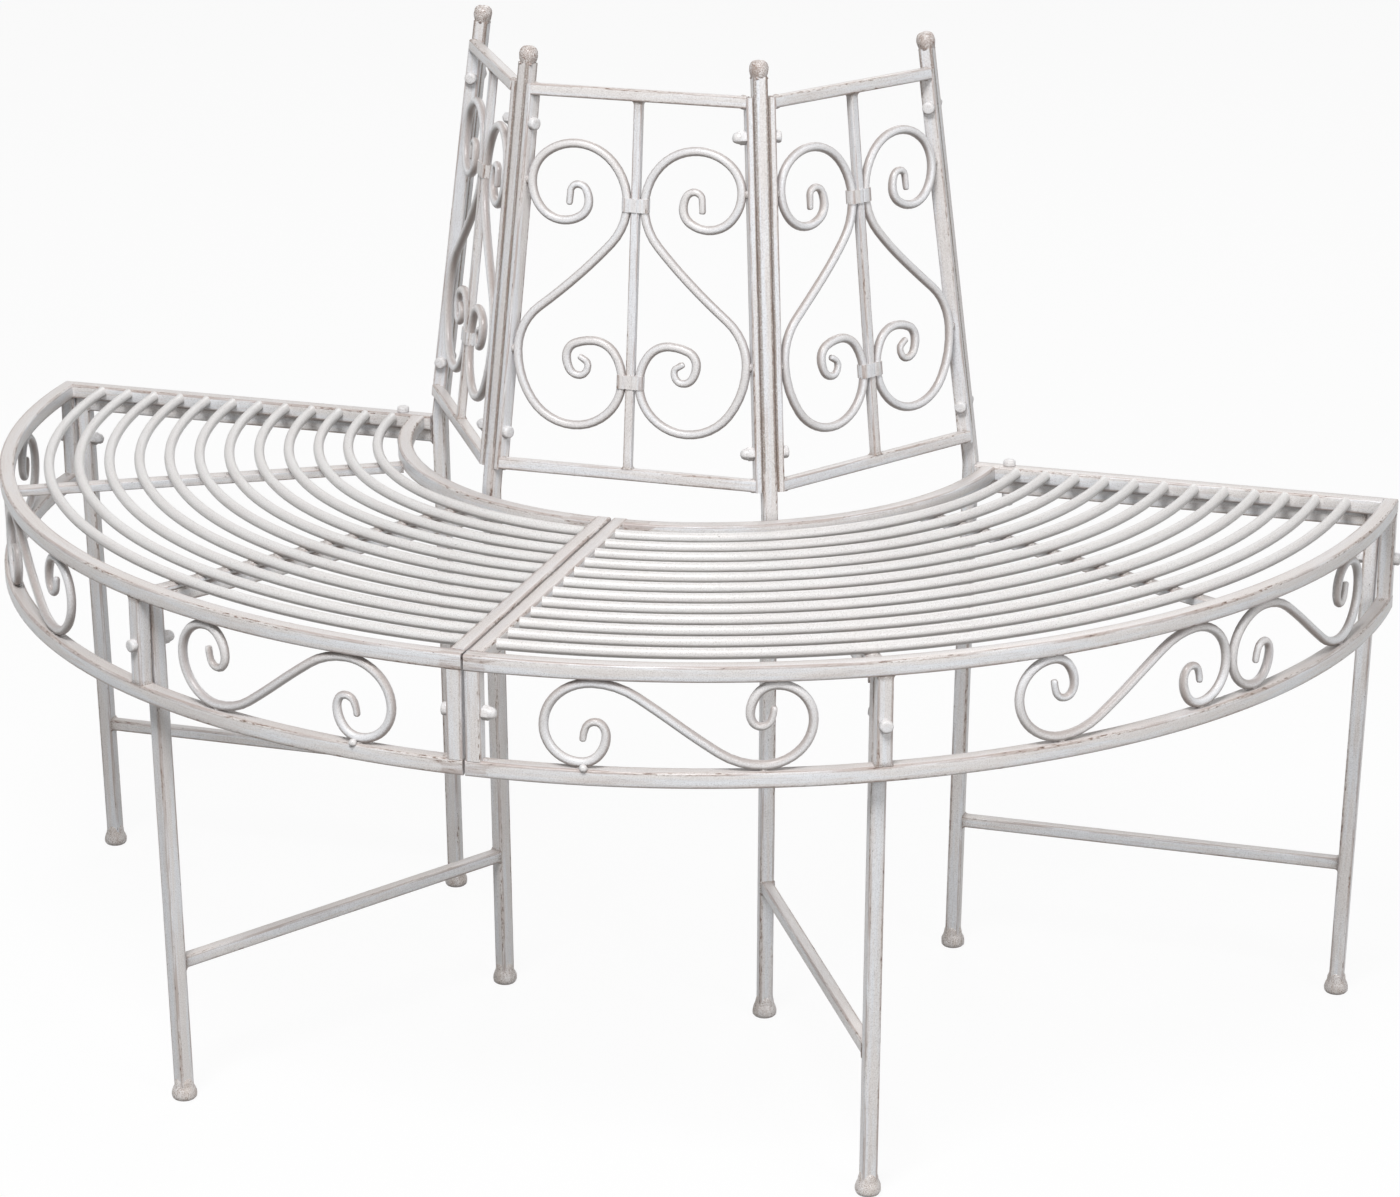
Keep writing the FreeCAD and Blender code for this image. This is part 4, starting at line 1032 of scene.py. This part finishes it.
def place_camera():
    lens = bpy.data.cameras.new("photo_camera")
    lens.sensor_fit = "HORIZONTAL"
    lens.sensor_width = SENSOR
    lens.lens = SENSOR * FOCAL_PX / IMAGE_PX[0]
    lens.shift_x = (IMAGE_PX[0] / 2 - CENTRE_PX[0]) / IMAGE_PX[0]
    lens.shift_y = (CENTRE_PX[1] - IMAGE_PX[1] / 2) / IMAGE_PX[0]
    back = Vector((math.sin(YAW) * math.cos(PITCH), -math.cos(YAW) * math.cos(PITCH), math.sin(PITCH)))
    right = UP.cross(back).normalized()
    upward = back.cross(right)
    camera = bpy.data.objects.new("photo_camera", lens)
    camera.matrix_world = (Matrix.Translation(LOOK_AT + back * DISTANCE)
                           @ Matrix((right, upward, back)).transposed().to_4x4()
                           @ Matrix.Rotation(ROLL, 4, "Z"))
    bpy.context.scene.collection.objects.link(camera)
    bpy.context.scene.camera = camera


# Plain studio in metres and watts: pale floor, a wide soft lamp in front and above, weaker ones at the
# right and behind, and a little light all round. Each lamp has its place, width and power.

LAMPS = {
    "front_lamp": ((0.1, -2.5, 4.2), 1.8, 180),
    "right_lamp": ((3.0, -2.0, 1.6), 1.6, 36),
    "back_lamp": ((-0.5, 3.3, 3.0), 1.6, 26),
}
BENCH_MIDDLE = Vector((0, 0, 0.4))
LIGHT_ALL_ROUND = 0.15
FLOOR_HALF = 12.0
# Share of plain white in the floor where it is looked at. The rest of it shows the shadow.
FLOOR_WHITE = 0.93


def soft_lamp(name, place, width, power):
    lamp = bpy.data.lights.new(name, "AREA")
    lamp.shape = "DISK"
    lamp.size = width
    lamp.energy = power
    item = bpy.data.objects.new(name, lamp)
    item.location = place
    item.rotation_euler = (BENCH_MIDDLE - Vector(place)).to_track_quat("-Z", "Y").to_euler()
    bpy.context.scene.collection.objects.link(item)


def looked_at(tree, share):
    """This share where the camera looks, straight or by a shine, and 0 for the light on the object."""
    rays = add(tree, "ShaderNodeLightPath").outputs
    seen = add(tree, "ShaderNodeMath", PLUS, {0: rays["Is Camera Ray"], 1: rays["Is Glossy Ray"]})
    seen = add(tree, "ShaderNodeMath", PLUS, {0: seen, 1: rays["Is Transmission Ray"]})
    return add(tree, "ShaderNodeMath", TIMES, {0: seen, 1: share})


def build_world():
    world = bpy.data.worlds.new("studio")
    bpy.context.scene.world = world
    world.use_nodes = True
    tree = world.node_tree
    tree.nodes.clear()
    light = add(tree, "ShaderNodeBackground", {}, {"Color": "#FFFFFF", "Strength": LIGHT_ALL_ROUND})
    white = add(tree, "ShaderNodeBackground", {}, {"Color": "#FFFFFF", "Strength": 1.0})
    mix = add(tree, "ShaderNodeMixShader", {}, {0: looked_at(tree, 1.0), 1: light, 2: white})
    add(tree, "ShaderNodeOutputWorld", {}, {"Surface": mix})


def studio_paper():
    """Matt backdrop paper. The eye gets near white, while the light that it throws back at the bench is
    that of a mid grey."""
    paper = bpy.data.materials.new("pale paper floor")
    paper.use_nodes = True
    tree = paper.node_tree
    tree.nodes.clear()
    tone = add(tree, "ShaderNodeMix", {"data_type": "RGBA"}, {
        0: looked_at(tree, 1.0), 6: "#ABAAA8", 7: "#F4F4F4"}).outputs[2]
    matt = add(tree, "ShaderNodeBsdfPrincipled", {}, {"Base Color": tone, "Roughness": 0.9})
    glow = add(tree, "ShaderNodeEmission", {}, {"Color": "#FFFFFF", "Strength": 1.0})
    mix = add(tree, "ShaderNodeMixShader", {}, {0: looked_at(tree, FLOOR_WHITE), 1: matt, 2: glow})
    add(tree, "ShaderNodeOutputMaterial", {}, {"Surface": mix})
    return paper


def build_studio():
    for name, (place, width, power) in LAMPS.items():
        soft_lamp(name, place, width, power)
    build_world()
    mesh = bpy.data.meshes.new("studio_floor")
    bm = bmesh.new()
    bmesh.ops.create_grid(bm, x_segments=1, y_segments=1, size=FLOOR_HALF)
    bm.to_mesh(mesh)
    bm.free()
    floor = bpy.data.objects.new("studio_floor", mesh)
    bpy.context.scene.collection.objects.link(floor)
    mesh.materials.append(studio_paper())


place_camera()
build_studio()
bpy.context.scene.view_settings.view_transform = "Standard"
